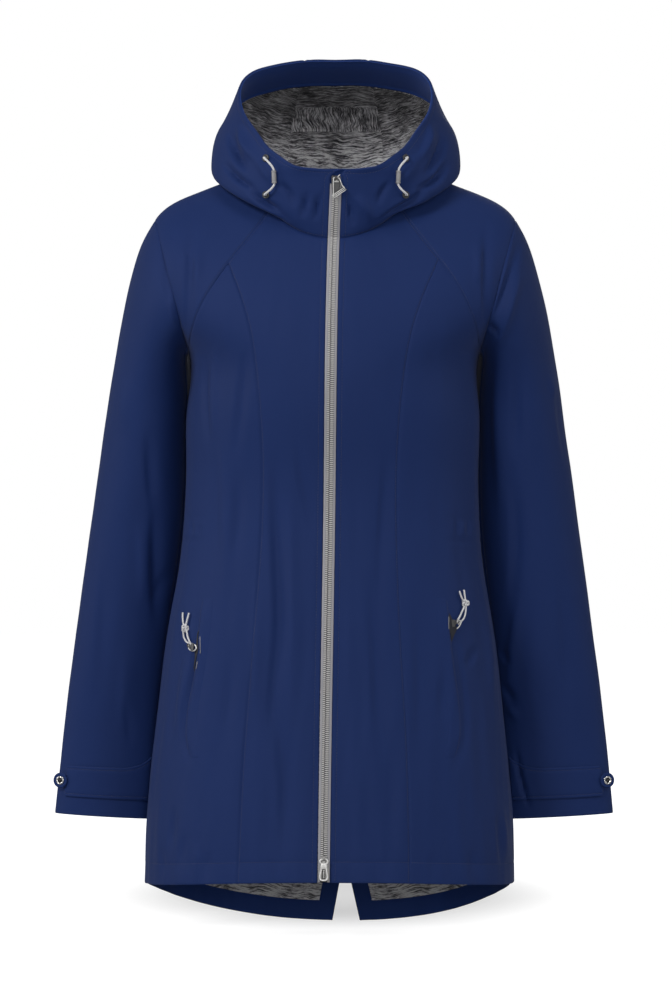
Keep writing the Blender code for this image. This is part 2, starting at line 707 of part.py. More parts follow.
def facing_rise(turn):
    """Where the hood's facing ends: wide over the head, narrower at the chin."""
    share = np.minimum(1, (1 - np.cos(turn)) * 1.1)
    return rise_below_rim(turn, FRONT_FACING + (HOOD_FACING - FRONT_FACING) * share)


def neck_columns(side):
    """The turns at which the panels below the neck seam have their columns."""
    edge = np.array([NECK_EDGE])
    front = abs(turn_where(torso, edge, side, off_front(side, ZIP_HALF_WIDTH))[0])
    yoke = abs(turn_where(torso, edge, side, off_middle(side, YOKE_SEAM))[0])
    quarter = math.pi / 2
    return np.concatenate(
        (np.linspace(front, yoke, 5)[:-1], np.linspace(yoke, quarter, 5)[:-1], np.linspace(quarter, math.pi, 9))
    )


def hood_columns(first, last):
    """The hood's columns between two turns, from the left front over the back to the right."""
    every = np.concatenate((neck_columns(1), (2 * math.pi - neck_columns(-1))[::-1][1:]))
    inside = every[(every > first + 0.02) & (every < last - 0.02)]
    return np.concatenate(((first,), inside, (last,)))


def make_hood():
    """Two hood sides that reach the zip as the funnel front, and the centre panel."""
    ease = 0.0016
    opening = np.where(HOOD_ROWS < TAPE_TOP_RISE + 0.01, ZIP_HALF_WIDTH, 0.0008)
    for side in (1, -1):
        columns = neck_columns(side)
        columns = side * np.append(columns[columns < HOOD_SEAM - 0.02], HOOD_SEAM - ease)
        turns = np.broadcast_to(columns, (len(HOOD_ROWS), len(columns))).copy()
        turns[:, 0] = turn_where(hood, HOOD_ROWS, side, off_hood_front(side, opening))
        rows = np.broadcast_to(HOOD_ROWS[:, None], turns.shape)
        outward = normals(hood, turns, rows)
        outward[0] = neck_normals(turns[0])
        wall(f"hood_side_{side_name(side)}", hood(turns, rows), outward, SHELL, NAVY)
    columns = hood_columns(HOOD_SEAM + ease, 2 * math.pi - HOOD_SEAM - ease)
    turns, rows = np.meshgrid(columns, HOOD_ROWS)
    outward = normals(hood, turns, rows)
    outward[0] = neck_normals(columns)
    wall("hood_centre", hood(turns, rows), outward, SHELL, NAVY)


def make_hood_inside():
    """The facing all round the hood's edge, and the lining from it down to the neck seam."""
    columns = hood_columns(0.04, 2 * math.pi - 0.04)
    turns, rows = np.meshgrid(columns, HOOD_ROWS)
    outward = normals(hood, turns, rows)
    outward[0] = neck_normals(columns)
    shell = hood(turns, rows)
    under = inside_of(shell, outward, HOOD_ROWS, columns, SHELL + LOOSE)

    turns = hood_columns(0.05, 2 * math.pi - 0.05)
    low = facing_rise(turns)
    rows = low + (0.9995 - low) * np.linspace(0, 1, 4)[:, None]
    grid = np.broadcast_to(turns, rows.shape)
    wall("hood_facing", under(rows, grid), normals(hood, grid, rows), LINING, FACING_NAVY)
    under = inside_of(shell, outward, HOOD_ROWS, columns, SHELL + LINING_LOOSE)
    spans = (
        ("hood_lining_left", 0.085, HOOD_SEAM - 0.003),
        ("hood_lining_centre", HOOD_SEAM + 0.003, 2 * math.pi - HOOD_SEAM - 0.003),
        ("hood_lining_right", 2 * math.pi - HOOD_SEAM + 0.003, 2 * math.pi - 0.085),
    )
    for name, first, last in spans:
        turns = hood_columns(first, last)
        high = facing_rise(turns) - 0.007
        upper = HOOD_ROWS[5] + (high - HOOD_ROWS[5]) * np.linspace(0, 1, 5)[1:, None]
        lower = np.broadcast_to(np.append(0.045, HOOD_ROWS[1:6])[:, None], (6, len(turns)))
        rows = np.concatenate((lower, upper))
        grid = np.broadcast_to(turns, rows.shape)
        wall(name, under(rows, grid), normals(hood, grid, rows), LINING, MELANGE)


def make_sleeve(side):
    """Upper sleeve and under sleeve, from the armhole to the cuff."""

    def surface(around, down):
        return sleeve(side, around, down)

    downs = rows_between(0.0, 1, 0.04, 1, 0.10, 2, 0.21, 2, 0.33, 5, 0.92, 1, 1.0)
    ease = 0.0036
    spans = (
        ("sleeve", BACK_SEAM - 2 * math.pi, FRONT_SEAM, 20),
        ("under_sleeve", FRONT_SEAM, BACK_SEAM, 6),
    )
    for name, first, last, count in spans:
        angles = np.linspace(first, last, count + 1)
        angles[0] += ease
        angles[-1] -= ease
        around, down = np.meshgrid(angles, downs)
        speed = np.linalg.norm(surface(angles, 0 * angles + 0.01) - surface(angles, 0 * angles), axis=-1) / 0.01
        down[0] = SLEEVE_EASE / speed
        outward = normals(surface, around, down, side)
        outward[0] = armhole_normals(side, around[0])
        wall(f"{name}_{side_name(side)}", surface(around, down), outward, SHELL, NAVY)


def make_cuff_tab(side):
    """A tab round the front of the cuff, from the front sleeve seam to the snap."""

    def surface(around, down):
        return sleeve(side, around, down)

    shared = FRONT_SEAM - math.radians(11.25) * np.arange(1, 11)
    ends = TAB_END + np.array((0.10, 0.05, 0.02, 0.0))
    angles = np.concatenate(((TAB_START,), shared[shared > TAB_END + 0.12], ends))
    past = np.clip((angles - math.radians(105)) / (TAB_START - math.radians(105)), 0, 1)
    corner = np.clip(1 - (angles - TAB_END) / 0.10, 0, 1)
    inset = TAB_CORNER * (1 - np.sqrt(1 - corner**2 * 0.96))
    top = TAB_TOP - TAB_FLARE * past**2 + inset
    bottom = TAB_BOTTOM - inset
    down = bottom + (top - bottom) * np.linspace(0, 1, 4)[:, None]
    around = np.broadcast_to(angles, down.shape)
    outward = normals(surface, around, down, side)
    lift = GAP + GAP + SHELL
    wall(f"cuff_tab_{side_name(side)}", surface(around, down), outward, SHELL, NAVY, lift)


def frame_on(point, out, up):
    """A matrix at point whose Z is out, whose Y is as near to up as it can be, and X is across."""
    out = Vector(out).normalized()
    across = Vector(up).cross(out).normalized()
    matrix = Matrix((across, out.cross(across), out)).transposed().to_4x4()
    matrix.translation = Vector(point)
    return matrix


def locate(x, z, turn=0.8, rise=0.6):
    """The hood's turn and rise at a place in the front view."""
    for _ in range(30):
        here = hood(turn, rise)
        by_turn = (hood(turn + 1e-4, rise) - here) / 1e-4
        by_rise = (hood(turn, rise + 1e-4) - here) / 1e-4
        slope = np.array(((by_turn[0], by_rise[0]), (by_turn[2], by_rise[2])))
        step = np.linalg.solve(slope, np.array((x - here[0], z - here[2])))
        turn = turn + np.clip(step[0], -0.2, 0.2)
        rise = rise + np.clip(step[1], -0.15, 0.15)
    return float(turn), float(rise)


def solid(name, mesh, look, matrix=None):
    """Closes a bmesh into the named object."""
    bmesh.ops.recalc_face_normals(mesh, faces=mesh.faces)
    if mesh.calc_volume(signed=True) < 0:
        bmesh.ops.reverse_faces(mesh, faces=mesh.faces)
    if matrix is not None:
        mesh.transform(matrix)
    data = bpy.data.meshes.new(name)
    mesh.to_mesh(data)
    mesh.free()
    return finish(name, data, look)


def plate(outline, low, high, bevel=0.0, flip=False):
    """A flat plate from an outline in X and Y, or in Z and Y with its thickness along X."""
    mesh = bmesh.new()
    spread = [(low, y, x) if flip else (x, y, low) for x, y in outline]
    face = mesh.faces.new([mesh.verts.new(point) for point in spread])
    grown = bmesh.ops.extrude_face_region(mesh, geom=[face])["geom"]
    move = Vector((high - low, 0, 0)) if flip else Vector((0, 0, high - low))
    bmesh.ops.translate(mesh, vec=move, verts=[v for v in grown if isinstance(v, bmesh.types.BMVert)])
    bmesh.ops.recalc_face_normals(mesh, faces=mesh.faces)
    if bevel:
        rims = [e for e in mesh.edges if len({round(v.co[0 if flip else 2], 7) for v in e.verts}) == 1]
        bmesh.ops.bevel(mesh, geom=rims, offset=bevel, segments=1, affect="EDGES")
    return mesh


def round_outline(rows, mirror=True):
    """A closed outline from rows of (y, half width), up one side and down the other."""
    right = [(width, y) for y, width in rows]
    left = [(-width, y) for y, width in reversed(rows) if width > 0]
    return right + left


def arc(centre_x, centre_y, radius, first, last, count):
    angles = np.radians(np.linspace(first, last, count + 1))
    return [(centre_x + radius * math.cos(a), centre_y + radius * math.sin(a)) for a in angles]


def boolean(obj, other, operation):
    """Joins or cuts another object, which stays behind as a hidden cutter."""
    modifier = obj.modifiers.new(operation.lower(), "BOOLEAN")
    modifier.operation = operation
    modifier.solver = "EXACT"
    modifier.object = other
    for collection in list(other.users_collection):
        collection.objects.unlink(other)
    bpy.data.collections["cutters"].objects.link(other)
    other.display_type = "WIRE"
    other.hide_render = True


def ellipse_outline(centre_y, half_width, half_height, count=14):
    angles = np.linspace(0, 2 * math.pi, count, endpoint=False)
    return [(half_width * math.cos(a), centre_y + half_height * math.sin(a)) for a in angles]


def make_tape(side):
    """One half of the zip's tape, from the hem up past the neck seam."""
    distances = (0.0002, TAPE_HALF_WIDTH)
    points, outward = [], []
    low = np.linspace(0.002, 0.998, 24)
    high = np.linspace(0.012, TAPE_TOP_RISE - 0.008, 7)
    for surface, along, beyond in ((torso, low, off_front), (hood, high, off_hood_front)):
        turns = np.stack([turn_where(surface, along, side, beyond(side, d)) for d in distances], -1)
        rows = np.broadcast_to(along[:, None], turns.shape)
        points.append(surface(turns, rows))
        outward.append(normals(surface, turns, rows))
    points, outward = np.concatenate(points), np.concatenate(outward)
    wall(f"zip_tape_{side_name(side)}", points, outward, TAPE, TAPE_GREY, -GAP)


def centre_frame(surface, z, lift):
    """A frame on the centre front at height z, standing off the cloth by lift."""
    alongs = np.linspace(0, 1, 400)
    heights = surface(np.zeros_like(alongs), alongs)[:, 2]
    along = float(np.interp(z, heights, alongs))
    point = surface(0.0, along)
    up = unit(surface(0.0, along + 1e-3) - surface(0.0, along - 1e-3))
    out = np.cross(up, (1.0, 0.0, 0.0))
    out = out if out[1] < 0 else -out
    return frame_on(point + out * lift, out, up)


def crown():
    """The slider's arch over the pull's pin, in the plane along the zip."""
    foot = -(PIN_OUT - SLIDER_PLATE / 2)
    outer = arc(0, 0, CROWN_OUTER, 0, 180, 8)
    inner = arc(0, 0, CROWN_INNER, 180, 0, 8)
    outline = [(x, y) for x, y in outer] + [(-CROWN_OUTER, foot), (-CROWN_INNER, foot)]
    outline += inner + [(CROWN_INNER, foot), (CROWN_OUTER, foot)]
    return plate([(y, x) for x, y in outline], -CROWN_WIDTH / 2, CROWN_WIDTH / 2, flip=True)


def make_slider(name, rows, frame):
    """A zip slider: a plate along the zip with an arch for the pull's pin at the frame."""
    base = -(PIN_OUT - SLIDER_PLATE)
    body = solid(name, plate(round_outline(rows), base - SLIDER_PLATE, base, 0.0004), SILVER, frame)
    boolean(body, solid(name + "_crown", crown(), SILVER, frame), "UNION")
    return body


def make_top_zip():
    """The top slider, widest at its crown, and its wire pull, which hangs askew."""
    frame = centre_frame(hood, TOP_PIN_Z, SLIDER_LIFT + PIN_OUT)
    rows = ((-0.0185, 0.0026), (-0.0165, 0.0034), (-0.0080, 0.0046), (0.0005, 0.0053), (0.0022, 0.0046))
    make_slider("zip_slider_top", rows, frame)
    tilted = frame @ Matrix.Rotation(TOP_PULL_TILT, 4, "Z")
    half = PULL_THICKNESS / 2
    outer = [(-0.0041, 0.0006), (-0.0078, -0.0145), (-0.0075, -0.0172), (0.0075, -0.0172), (0.0078, -0.0145)]
    outer.append((0.0041, 0.0006))
    inner = [(-0.0029, -0.0006), (-0.0064, -0.0138), (0.0064, -0.0138), (0.0029, -0.0006)]
    pull = solid("zip_pull_top", plate(outer, -half, half, 0.0003), SILVER, tilted)
    boolean(pull, solid("zip_pull_top_hole", plate(inner, -0.002, 0.002), SILVER, tilted), "DIFFERENCE")


def make_bottom_zip():
    """The bottom slider, widest at the hem, and its flat pull with a slot."""
    frame = centre_frame(torso, BOTTOM_PIN_Z, SLIDER_LIFT + PIN_OUT)
    rows = (
        (-0.0232, 0.0052), (-0.0222, 0.0061), (-0.0130, 0.0061), (-0.0080, 0.0050), (-0.0030, 0.0036),
        (0.0020, 0.0032), (0.0030, 0.0022),
    )
    make_slider("zip_slider_bottom", rows, frame)
    half = PULL_THICKNESS / 2
    rows = (
        (-0.0240, 0.0024), (-0.0232, 0.0042), (-0.0215, 0.0050), (-0.0170, 0.0047), (-0.0100, 0.0036),
        (-0.0075, 0.0032), (-0.0055, 0.0038), (-0.0028, 0.0052), (-0.0010, 0.0052), (0.0002, 0.0040),
        (0.0006, 0.0022),
    )
    pull = solid("zip_pull_bottom", plate(round_outline(rows), -half, half, 0.0003), SILVER, frame)
    hole = plate(ellipse_outline(-0.0032, 0.0034, 0.0026), -0.002, 0.002)
    boolean(pull, solid("zip_pull_bottom_hole", hole, SILVER, frame), "DIFFERENCE")
    slot = arc(0, -0.0121, 0.0019, 0, 180, 4) + arc(0, -0.0205, 0.0019, 180, 360, 4)
    boolean(pull, solid("zip_pull_bottom_slot", plate(slot, -0.002, 0.002), SILVER, frame), "DIFFERENCE")


def tube(name, points, radius, look):
    """A closed cord along points."""
    curve = bpy.data.curves.new(name, "CURVE")
    curve.dimensions = "3D"
    curve.bevel_depth = radius
    curve.bevel_resolution = 2
    curve.use_fill_caps = True
    line = curve.splines.new("POLY")
    line.points.add(len(points) - 1)
    for point, place in zip(line.points, points):
        point.co = (*place, 1)
    obj = bpy.data.objects.new(name, curve)
    material = bpy.data.materials.new(name)
    material.use_nodes = True
    shader = material.node_tree.nodes["Principled BSDF"]
    shader.inputs["Base Color"].default_value = (*look[0], 1)
    shader.inputs["Roughness"].default_value = look[1]
    curve.materials.append(material)
    bpy.data.collections["hooded_raincoat"].objects.link(obj)
    return obj


def through(points, count):
    """A smooth route through points, evenly spaced by their distances."""
    points = np.array(points, float)
    keys = np.concatenate(([0], np.cumsum(np.linalg.norm(np.diff(points, axis=0), axis=1))))
    return weights(keys, np.linspace(0, keys[-1], count)) @ points


def make_hood_cord(side):
    """Two eyelets in the hood, a cord between them and the toggle that it runs through."""
    eyelets, ends = [], []
    for place, z in (("upper", UPPER_EYELET_Z), ("lower", LOWER_EYELET_Z)):
        turn, rise = locate(side * EYELET_X + 0.0020, z, side * 0.9)
        point, out = hood(turn, rise), normals(hood, turn, rise)
        eyelets.append((point, out))
        frame = frame_on(point + out * (EYELET_WIRE + GAP), out, (0, 0, 1))
        bpy.ops.mesh.primitive_torus_add(
            major_radius=EYELET_RADIUS, minor_radius=EYELET_WIRE, major_segments=12, minor_segments=6
        )
        ring = bpy.context.object
        data = ring.data
        bpy.data.objects.remove(ring)
        data.transform(frame)
        finish(f"hood_eyelet_{place}_{side_name(side)}", data, SILVER)
        ends.append((point + out * 0.0006, point + out * 0.0040))
    turn, rise = locate(side * TOGGLE_X + 0.0024, TOGGLE_Z, side * 0.8)
    point, out = hood(turn, rise), normals(hood, turn, rise)
    centre = point + out * (TOGGLE_RADIUS + 0.0016)
    up = unit(ends[0][1] - ends[1][1])
    up = unit(up - out * np.dot(up, out) * 0.6)
    half = TOGGLE_LENGTH / 2
    profile = [(TOGGLE_BORE, -half), (TOGGLE_RADIUS - 0.0003, -half), (TOGGLE_RADIUS, -half + 0.0006)]
    profile += [(TOGGLE_RADIUS, half - 0.0006), (TOGGLE_RADIUS - 0.0003, half), (TOGGLE_BORE, half)]
    mesh = bmesh.new()
    rings = []
    for i in range(12):
        angle = 2 * math.pi * i / 12
        rings.append([mesh.verts.new((r * math.cos(angle), r * math.sin(angle), h)) for r, h in profile])
    for one, two in zip(rings, rings[1:] + rings[:1]):
        for i in range(len(profile)):
            j = (i + 1) % len(profile)
            mesh.faces.new((one[i], two[i], two[j], one[j]))
    solid(f"hood_toggle_{side_name(side)}", mesh, RUBBER_GREY, frame_on(centre, up, out))
    route = [*ends[0], centre + up * (half + 0.0005), centre + up * half / 2, centre]
    route += [centre - up * half / 2, centre - up * (half + 0.0005), ends[1][1], ends[1][0]]
    tube(f"hood_cord_{side_name(side)}", through(route, 20), CORD_RADIUS, CORD_GREY)


def pocket_line(side, more=0.0):
    """The pocket's opening, moved towards the side seam by more."""
    heights = np.linspace(-0.620, -0.430, 14)
    return tuple(zip(heights, spline(POCKET, heights) - side * POCKET_SHIFT + more))


def pocket_strip(side, name, first, last, thickness, look, lift, trim=0.0):
    """A strip beside the pocket's opening, on top of the side front."""
    ends = level(POCKET_BOTTOM_Z) + trim, level(POCKET_TOP_Z) - trim
    rows = panel_rows(side, *ends)
    rows = np.concatenate(((ends[0],), rows, (ends[1],), (rows[:-1] + rows[1:]) / 2))
    rows = np.sort(np.append(rows, (ends[0] + rows[1]) / 2))
    inner = turn_where(torso, rows, side, off_front(side, pocket_line(side, first)))
    outer = turn_where(torso, rows, side, off_front(side, pocket_line(side, last)))
    torso_panel(name, rows, inner, outer, 1, look, thickness, lift)


def make_pocket(side):
    """Welt, zip strip, slider, and the knotted cord loop through the slider's link."""
    name = side_name(side)
    pocket_strip(side, f"pocket_welt_{name}", -WELT_WIDTH, 0, TRIM, NAVY, WELT_LIFT)
    strip = 0.0008
    lift = WELT_LIFT - TRIM + strip
    pocket_strip(side, f"pocket_zip_{name}", 0.0004, POCKET_ZIP_WIDTH, strip, TAPE_GREY, lift, 0.008)
    z = -0.4900 if side < 0 else -0.4640
    height = np.array([level(z)])
    turn = turn_where(torso, height, side, off_front(side, pocket_line(side, POCKET_ZIP_WIDTH / 2 + 0.0003)))
    point, out = torso(turn, height)[0], normals(torso, turn, height)[0]
    frame = frame_on(point + out * (WELT_LIFT - TRIM + strip + GAP), out, (0, 0, 1))
    body = [(-0.0019, -0.0040), (0.0019, -0.0040), (0.0021, 0.0040), (-0.0021, 0.0040)]
    slider = solid(f"pocket_slider_{name}", plate(body, 0.0, 0.0018, 0.0003), SILVER, frame)
    lean = Matrix.Rotation(math.radians(18) * side, 4, "Z") @ Matrix.Translation((0, 0, 0.0009))
    link = frame @ lean
    tongue = [(side * x, y) for x, y in arc(0.0058, 0, 0.0022, -90, 90, 6)]
    tongue += [(side * 0.0010, 0.0018), (side * 0.0010, -0.0018)]
    boolean(slider, solid(f"pocket_link_{name}", plate(tongue, 0.0, 0.0012), SILVER, link), "UNION")
    hole = [(side * x, y) for x, y in arc(0.0056, 0, 0.0014, 0, 324, 9)]
    boolean(slider, solid(f"pocket_eye_{name}", plate(hole, -0.001, 0.002), SILVER, link), "DIFFERENCE")

    def at(x, y, lift):
        return np.array(frame @ Vector((side * x, y, lift)))

    knot = at(0.0125, 0.0235, 0.0046)
    drop = [
        at(0.0108, 0.0200, 0.0042), at(0.0085, 0.0120, 0.0042), at(0.0061, 0.0050, 0.0048),
        at(0.0054, 0.0021, 0.0034), at(0.0053, 0.0017, 0.0014), at(0.0058, 0.0009, -0.0003),
        at(0.0086, -0.0005, -0.0006), at(0.0112, 0.0004, 0.0012), at(0.0128, 0.0060, 0.0034),
        at(0.0140, 0.0130, 0.0040), at(0.0142, 0.0200, 0.0042),
    ]
    tube(f"pocket_cord_{name}", through(drop, 30), LOOP_RADIUS, CORD_GREY)
    mesh = bmesh.new()
    bmesh.ops.create_uvsphere(mesh, u_segments=10, v_segments=6, radius=1.0)
    mesh.transform(Matrix.Diagonal((0.0040, 0.0030, 0.0027, 1)))
    placed = frame.copy()
    placed.translation = Vector(knot)
    body = solid(f"pocket_knot_{name}", mesh, CORD_GREY, placed)
    for sign in (-1, 1):
        start = knot + np.array(placed.to_3x3() @ Vector((sign * 0.0012, 0.0004, 0)))
        end = knot + np.array(placed.to_3x3() @ Vector((sign * 0.0032 - side * 0.0010, 0.0165, 0.0010)))
        tail = round_rod(start, end, LOOP_RADIUS)
        boolean(body, solid(f"pocket_tail_{name}_{sign + 1}", tail, CORD_GREY), "UNION")


def round_rod(start, end, radius):
    mesh = bmesh.new()
    span = Vector(end - start)
    bmesh.ops.create_cone(mesh, cap_ends=True, segments=8, radius1=radius, radius2=radius, depth=span.length)
    matrix = span.to_track_quat("Z", "Y").to_matrix().to_4x4()
    matrix.translation = Vector((start + end) / 2)
    mesh.transform(matrix)
    return mesh


def make_snap(side):
    """A flat snap: a cloth-covered disc with a metal ring on it."""
    down = (TAB_TOP + TAB_BOTTOM) / 2
    point = sleeve(side, SNAP_AT, down)
    out = normals(lambda u, v: sleeve(side, u, v), np.array(SNAP_AT), np.array(down), side)
    out = unit(out * 0.5 + np.array((0.0, -0.5, 0.0)))
    frame = frame_on(point + out * SNAP_LIFT, out, (0, 0, 1))
    r, ring, h = SNAP_RADIUS, SNAP_RING_RADIUS, SNAP_HEIGHT
    profile = (
        (0, 0), (r - 0.0005, 0), (r, 0.0005), (r - 0.0002, h - 0.0004), (r - 0.0010, h), (ring, h),
        (ring - 0.0002, h + 0.0008), (ring - 0.0016, h + 0.0010), (0.0022, h + 0.0002), (0, h + 0.0002),
    )
    mesh = bmesh.new()
    count = 20
    columns = []
    for i in range(count):
        angle = 2 * math.pi * i / count
        columns.append([mesh.verts.new((x * math.cos(angle), x * math.sin(angle), y)) for x, y in profile])
    for one, two in zip(columns, columns[1:] + columns[:1]):
        for i in range(len(profile) - 1):
            mesh.faces.new((one[i], two[i], two[i + 1], one[i + 1]))
    bmesh.ops.remove_doubles(mesh, verts=mesh.verts, dist=1e-6)
    solid(f"cuff_snap_{side_name(side)}", mesh, SILVER, frame)


def main():
    for obj in list(bpy.data.objects):
        bpy.data.objects.remove(obj)
    for name in ("hooded_raincoat", "cutters"):
        bpy.context.scene.collection.children.link(bpy.data.collections.new(name))
    for side in (1, -1):
        make_fronts(side)
        make_back(side)
        make_back_inside(side)
        make_sleeve(side)
        make_cuff_tab(side)
        make_snap(side)
        make_pocket(side)
        make_hood_cord(side)
        make_tape(side)
    make_hood()
    make_hood_inside()
    make_top_zip()
    make_bottom_zip()


main()
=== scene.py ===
"""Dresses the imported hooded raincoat: creased and sewn cloth, knitted lining, zip, cords and metal.

Metres, +Z up, front towards -Y. Left and right are the wearer's, so left is +X. Every piece of
cloth is a wall between two seams of one of three surfaces: torso(turn, height), hood(turn, rise)
and sleeve(around, down). Its outer face is the surface, moved along its normals by a relief that is
the sum of the creases, the seam grooves and the dips under rows of stitches.
"""

import logging
import math
from collections.abc import Callable, Iterator
from contextlib import contextmanager
from dataclasses import dataclass, field
from enum import Enum
from typing import NamedTuple

import bmesh
import bpy
import numpy as np
from mathutils import Matrix, Vector


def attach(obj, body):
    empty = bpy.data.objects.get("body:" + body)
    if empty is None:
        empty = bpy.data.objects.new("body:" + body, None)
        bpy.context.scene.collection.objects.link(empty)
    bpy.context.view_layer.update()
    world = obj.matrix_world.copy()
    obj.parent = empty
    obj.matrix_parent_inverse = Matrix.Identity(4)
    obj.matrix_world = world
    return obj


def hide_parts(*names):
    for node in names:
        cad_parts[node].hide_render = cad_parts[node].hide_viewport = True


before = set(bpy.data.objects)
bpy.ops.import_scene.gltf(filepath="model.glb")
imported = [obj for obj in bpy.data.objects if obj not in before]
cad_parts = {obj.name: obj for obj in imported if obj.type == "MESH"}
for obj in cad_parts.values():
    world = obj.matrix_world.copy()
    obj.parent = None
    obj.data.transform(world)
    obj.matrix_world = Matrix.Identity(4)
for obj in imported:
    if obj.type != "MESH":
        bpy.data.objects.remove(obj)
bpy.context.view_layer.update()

Array = np.ndarray
Points = Callable[[Array, Array], Array]
Line = Callable[[Array], Array]
Test = Callable[[Array], Array]
Socket = bpy.types.NodeSocket
Thing = bpy.types.Object
Colour = tuple[float, float, float]
log = logging.getLogger("raincoat")

COAT = "coat"
MM = 0.001

# Points closer than this are one, and how far a cloth's edges are rounded
MERGE = 2e-6
CLOTH_EDGE = 0.00042

# Cloth and seams
SHELL = 0.0015
LINING = 0.0010
TRIM = 0.0012
GAP = 0.0003
LOOSE = 0.0012
CLOSE = 0.0002
SEAM_OVERLAP = 0.00025
SIDE_EASE = -0.0012
SLEEVE_EASE = -0.0002
SLEEVE_SEAM_EASE = -0.0030
HOOD_SEAM_EASE = -0.0016
ARMHOLE_INSET = -0.0004
NECK_EDGE = 1.0

# Front edge and zip
ZIP_HALF_WIDTH = 0.0068
TAPE_HALF_WIDTH = 0.0064
TAPE = 0.0010
TAPE_TOP_RISE = 0.69

# Vent and facings
VENT_TOP_Z = -0.728
VENT_HALF_WIDTH = 0.0158
HEM_FACING = 0.0235
VENT_FACING = 0.019
FACING_ABOVE_VENT = 0.014
HOOD_FACING = 0.050
FRONT_FACING = 0.026

# Pockets
POCKET_SHIFT = 0.0035
POCKET_TOP_Z = -0.434
POCKET_BOTTOM_Z = -0.612
WELT_WIDTH = 0.0145
WELT_LIFT = 0.0016
POCKET_STRIP = 0.0008

HOOD_SEAM = math.radians(157.5)
FRONT_SEAM = math.radians(157.5)
BACK_SEAM = math.radians(292.5)
RIM_FRONT_Y = -0.100
RIM_TOP_Y = 0.015
ARMHOLE_FADE = 0.33

# How much deeper the creases in the hood's front are than their table says
HOOD_DEPTH = 2.1
# Soft bulges of the sleeve and of the body, which meet at the armpit
ARMPIT_FULLNESS = 0.0108
SIDE_FULLNESS = 0.0040

# Offsets of the seams from the centre front, or from the middle of the body, at each height
PRINCESS = (
    (-0.741, 0.0930), (-0.600, 0.0885), (-0.492, 0.0810), (-0.384, 0.0747),
    (-0.290, 0.0733), (-0.206, 0.0790), (-0.125, 0.0935), (-0.075, 0.1125),
)
YOKE_SEAM = (
    (-0.168, 0.1600), (-0.149, 0.1560), (-0.111, 0.1410), (-0.0855, 0.1255),
    (-0.057, 0.1040), (-0.016, 0.0735), (0.034, 0.0400),
)
POCKET = (
    (-0.620, 0.1420), (-0.595, 0.1480), (-0.547, 0.1468),
    (-0.510, 0.1410), (-0.475, 0.1365), (-0.430, 0.1330),
)
MIDDLE = (
    (-0.80, -0.0055), (-0.545, -0.0044), (-0.35, -0.0028),
    (-0.15, 0.0004), (0.0, 0.0016), (0.16, 0.0026),
)
CENTRE_FRONT = (
    (-0.741, -0.0111), (-0.545, -0.0084), (-0.330, -0.0049),
    (-0.114, -0.0023), (-0.059, -0.0008), (0.030, 0.0030),
)
CENTRE_BACK = (
    (-0.803, 0.0136), (-0.762, 0.0127), (-0.650, 0.0090),
    (-0.450, 0.0020), (-0.220, 0.0), (0.16, 0.0026),
)


class TorsoRing(NamedTuple):
    """One ring of the body, from the hem up."""

    name: str
    side_z: float
    front_z: float
    back_z: float
    half_width: float
    front_depth: float
    back_depth: float
    roundness: float
    front_fall: float
    back_fall: float


TORSO = (
    TorsoRing("hem", -0.7500, -0.7410, -0.8035, 0.2030, 0.150, 0.150, 2.20, 2.0, 1.45),
    TorsoRing("hem_turn", -0.7000, -0.6950, -0.7450, 0.2016, 0.147, 0.148, 2.20, 2.0, 1.50),
    TorsoRing("thigh", -0.6250, -0.6220, -0.6500, 0.1966, 0.141, 0.142, 2.20, 2.0, 1.60),
    TorsoRing("hip", -0.5450, -0.5450, -0.5550, 0.1880, 0.134, 0.135, 2.20, 2.0, 1.80),
    TorsoRing("high_hip", -0.4600, -0.4600, -0.4620, 0.1769, 0.127, 0.126, 2.20, 2.0, 2.0),
    TorsoRing("below_waist", -0.4000, -0.4000, -0.4000, 0.1668, 0.121, 0.117, 2.20, 2.0, 2.0),
    TorsoRing("waist", -0.3500, -0.3500, -0.3500, 0.1624, 0.117, 0.111, 2.20, 2.0, 2.0),
    TorsoRing("rib", -0.2900, -0.2950, -0.2900, 0.1610, 0.119, 0.113, 2.20, 2.0, 2.0),
    TorsoRing("bust", -0.2250, -0.2350, -0.2250, 0.1606, 0.127, 0.120, 2.20, 2.0, 2.0),
    TorsoRing("armpit", -0.1680, -0.1900, -0.1720, 0.1600, 0.129, 0.123, 2.20, 2.0, 2.0),
    TorsoRing("scye", -0.1250, -0.1600, -0.1350, 0.1880, 0.126, 0.124, 2.20, 1.9, 1.9),
    TorsoRing("blade", -0.0750, -0.1330, -0.1000, 0.2050, 0.121, 0.122, 2.15, 1.7, 1.7),
    TorsoRing("shoulder", -0.0215, -0.1090, -0.0620, 0.1980, 0.113, 0.115, 2.10, 1.5, 1.5),
    TorsoRing("mid_shoulder", 0.0110, -0.0780, -0.0120, 0.1450, 0.101, 0.099, 2.10, 1.35, 1.35),
    TorsoRing("neck", 0.0340, -0.0460, 0.0300, 0.0880, 0.086, 0.080, 2.10, 1.15, 1.15),
)


class HoodRing(NamedTuple):
    """One ring of the hood, between the neck seam and the hood's edge."""

    name: str
    rise: float
    half_width: float
    side_y: float
    side_z: float
    front_y: float
    front_z: float
    back_y: float
    back_z: float
    roundness: float
    fall: float


HOOD = (
    HoodRing("lift", 0.10, 0.1085, 0.001, 0.0340, -0.0884, -0.0370, 0.1000, 0.019, 2.10, 1.20),
    HoodRing("rest", 0.20, 0.1270, 0.002, 0.0255, -0.0905, -0.028, 0.119, -0.004, 2.10, 1.30),
    HoodRing("swell", 0.42, 0.1370, 0.010, 0.0450, -0.0945, -0.008, 0.158, 0.030, 2.10, 1.20),
    HoodRing("crown", 0.68, 0.1297, 0.018, 0.0780, -0.0985, 0.012, 0.150, 0.083, 2.15, 1.15),
)
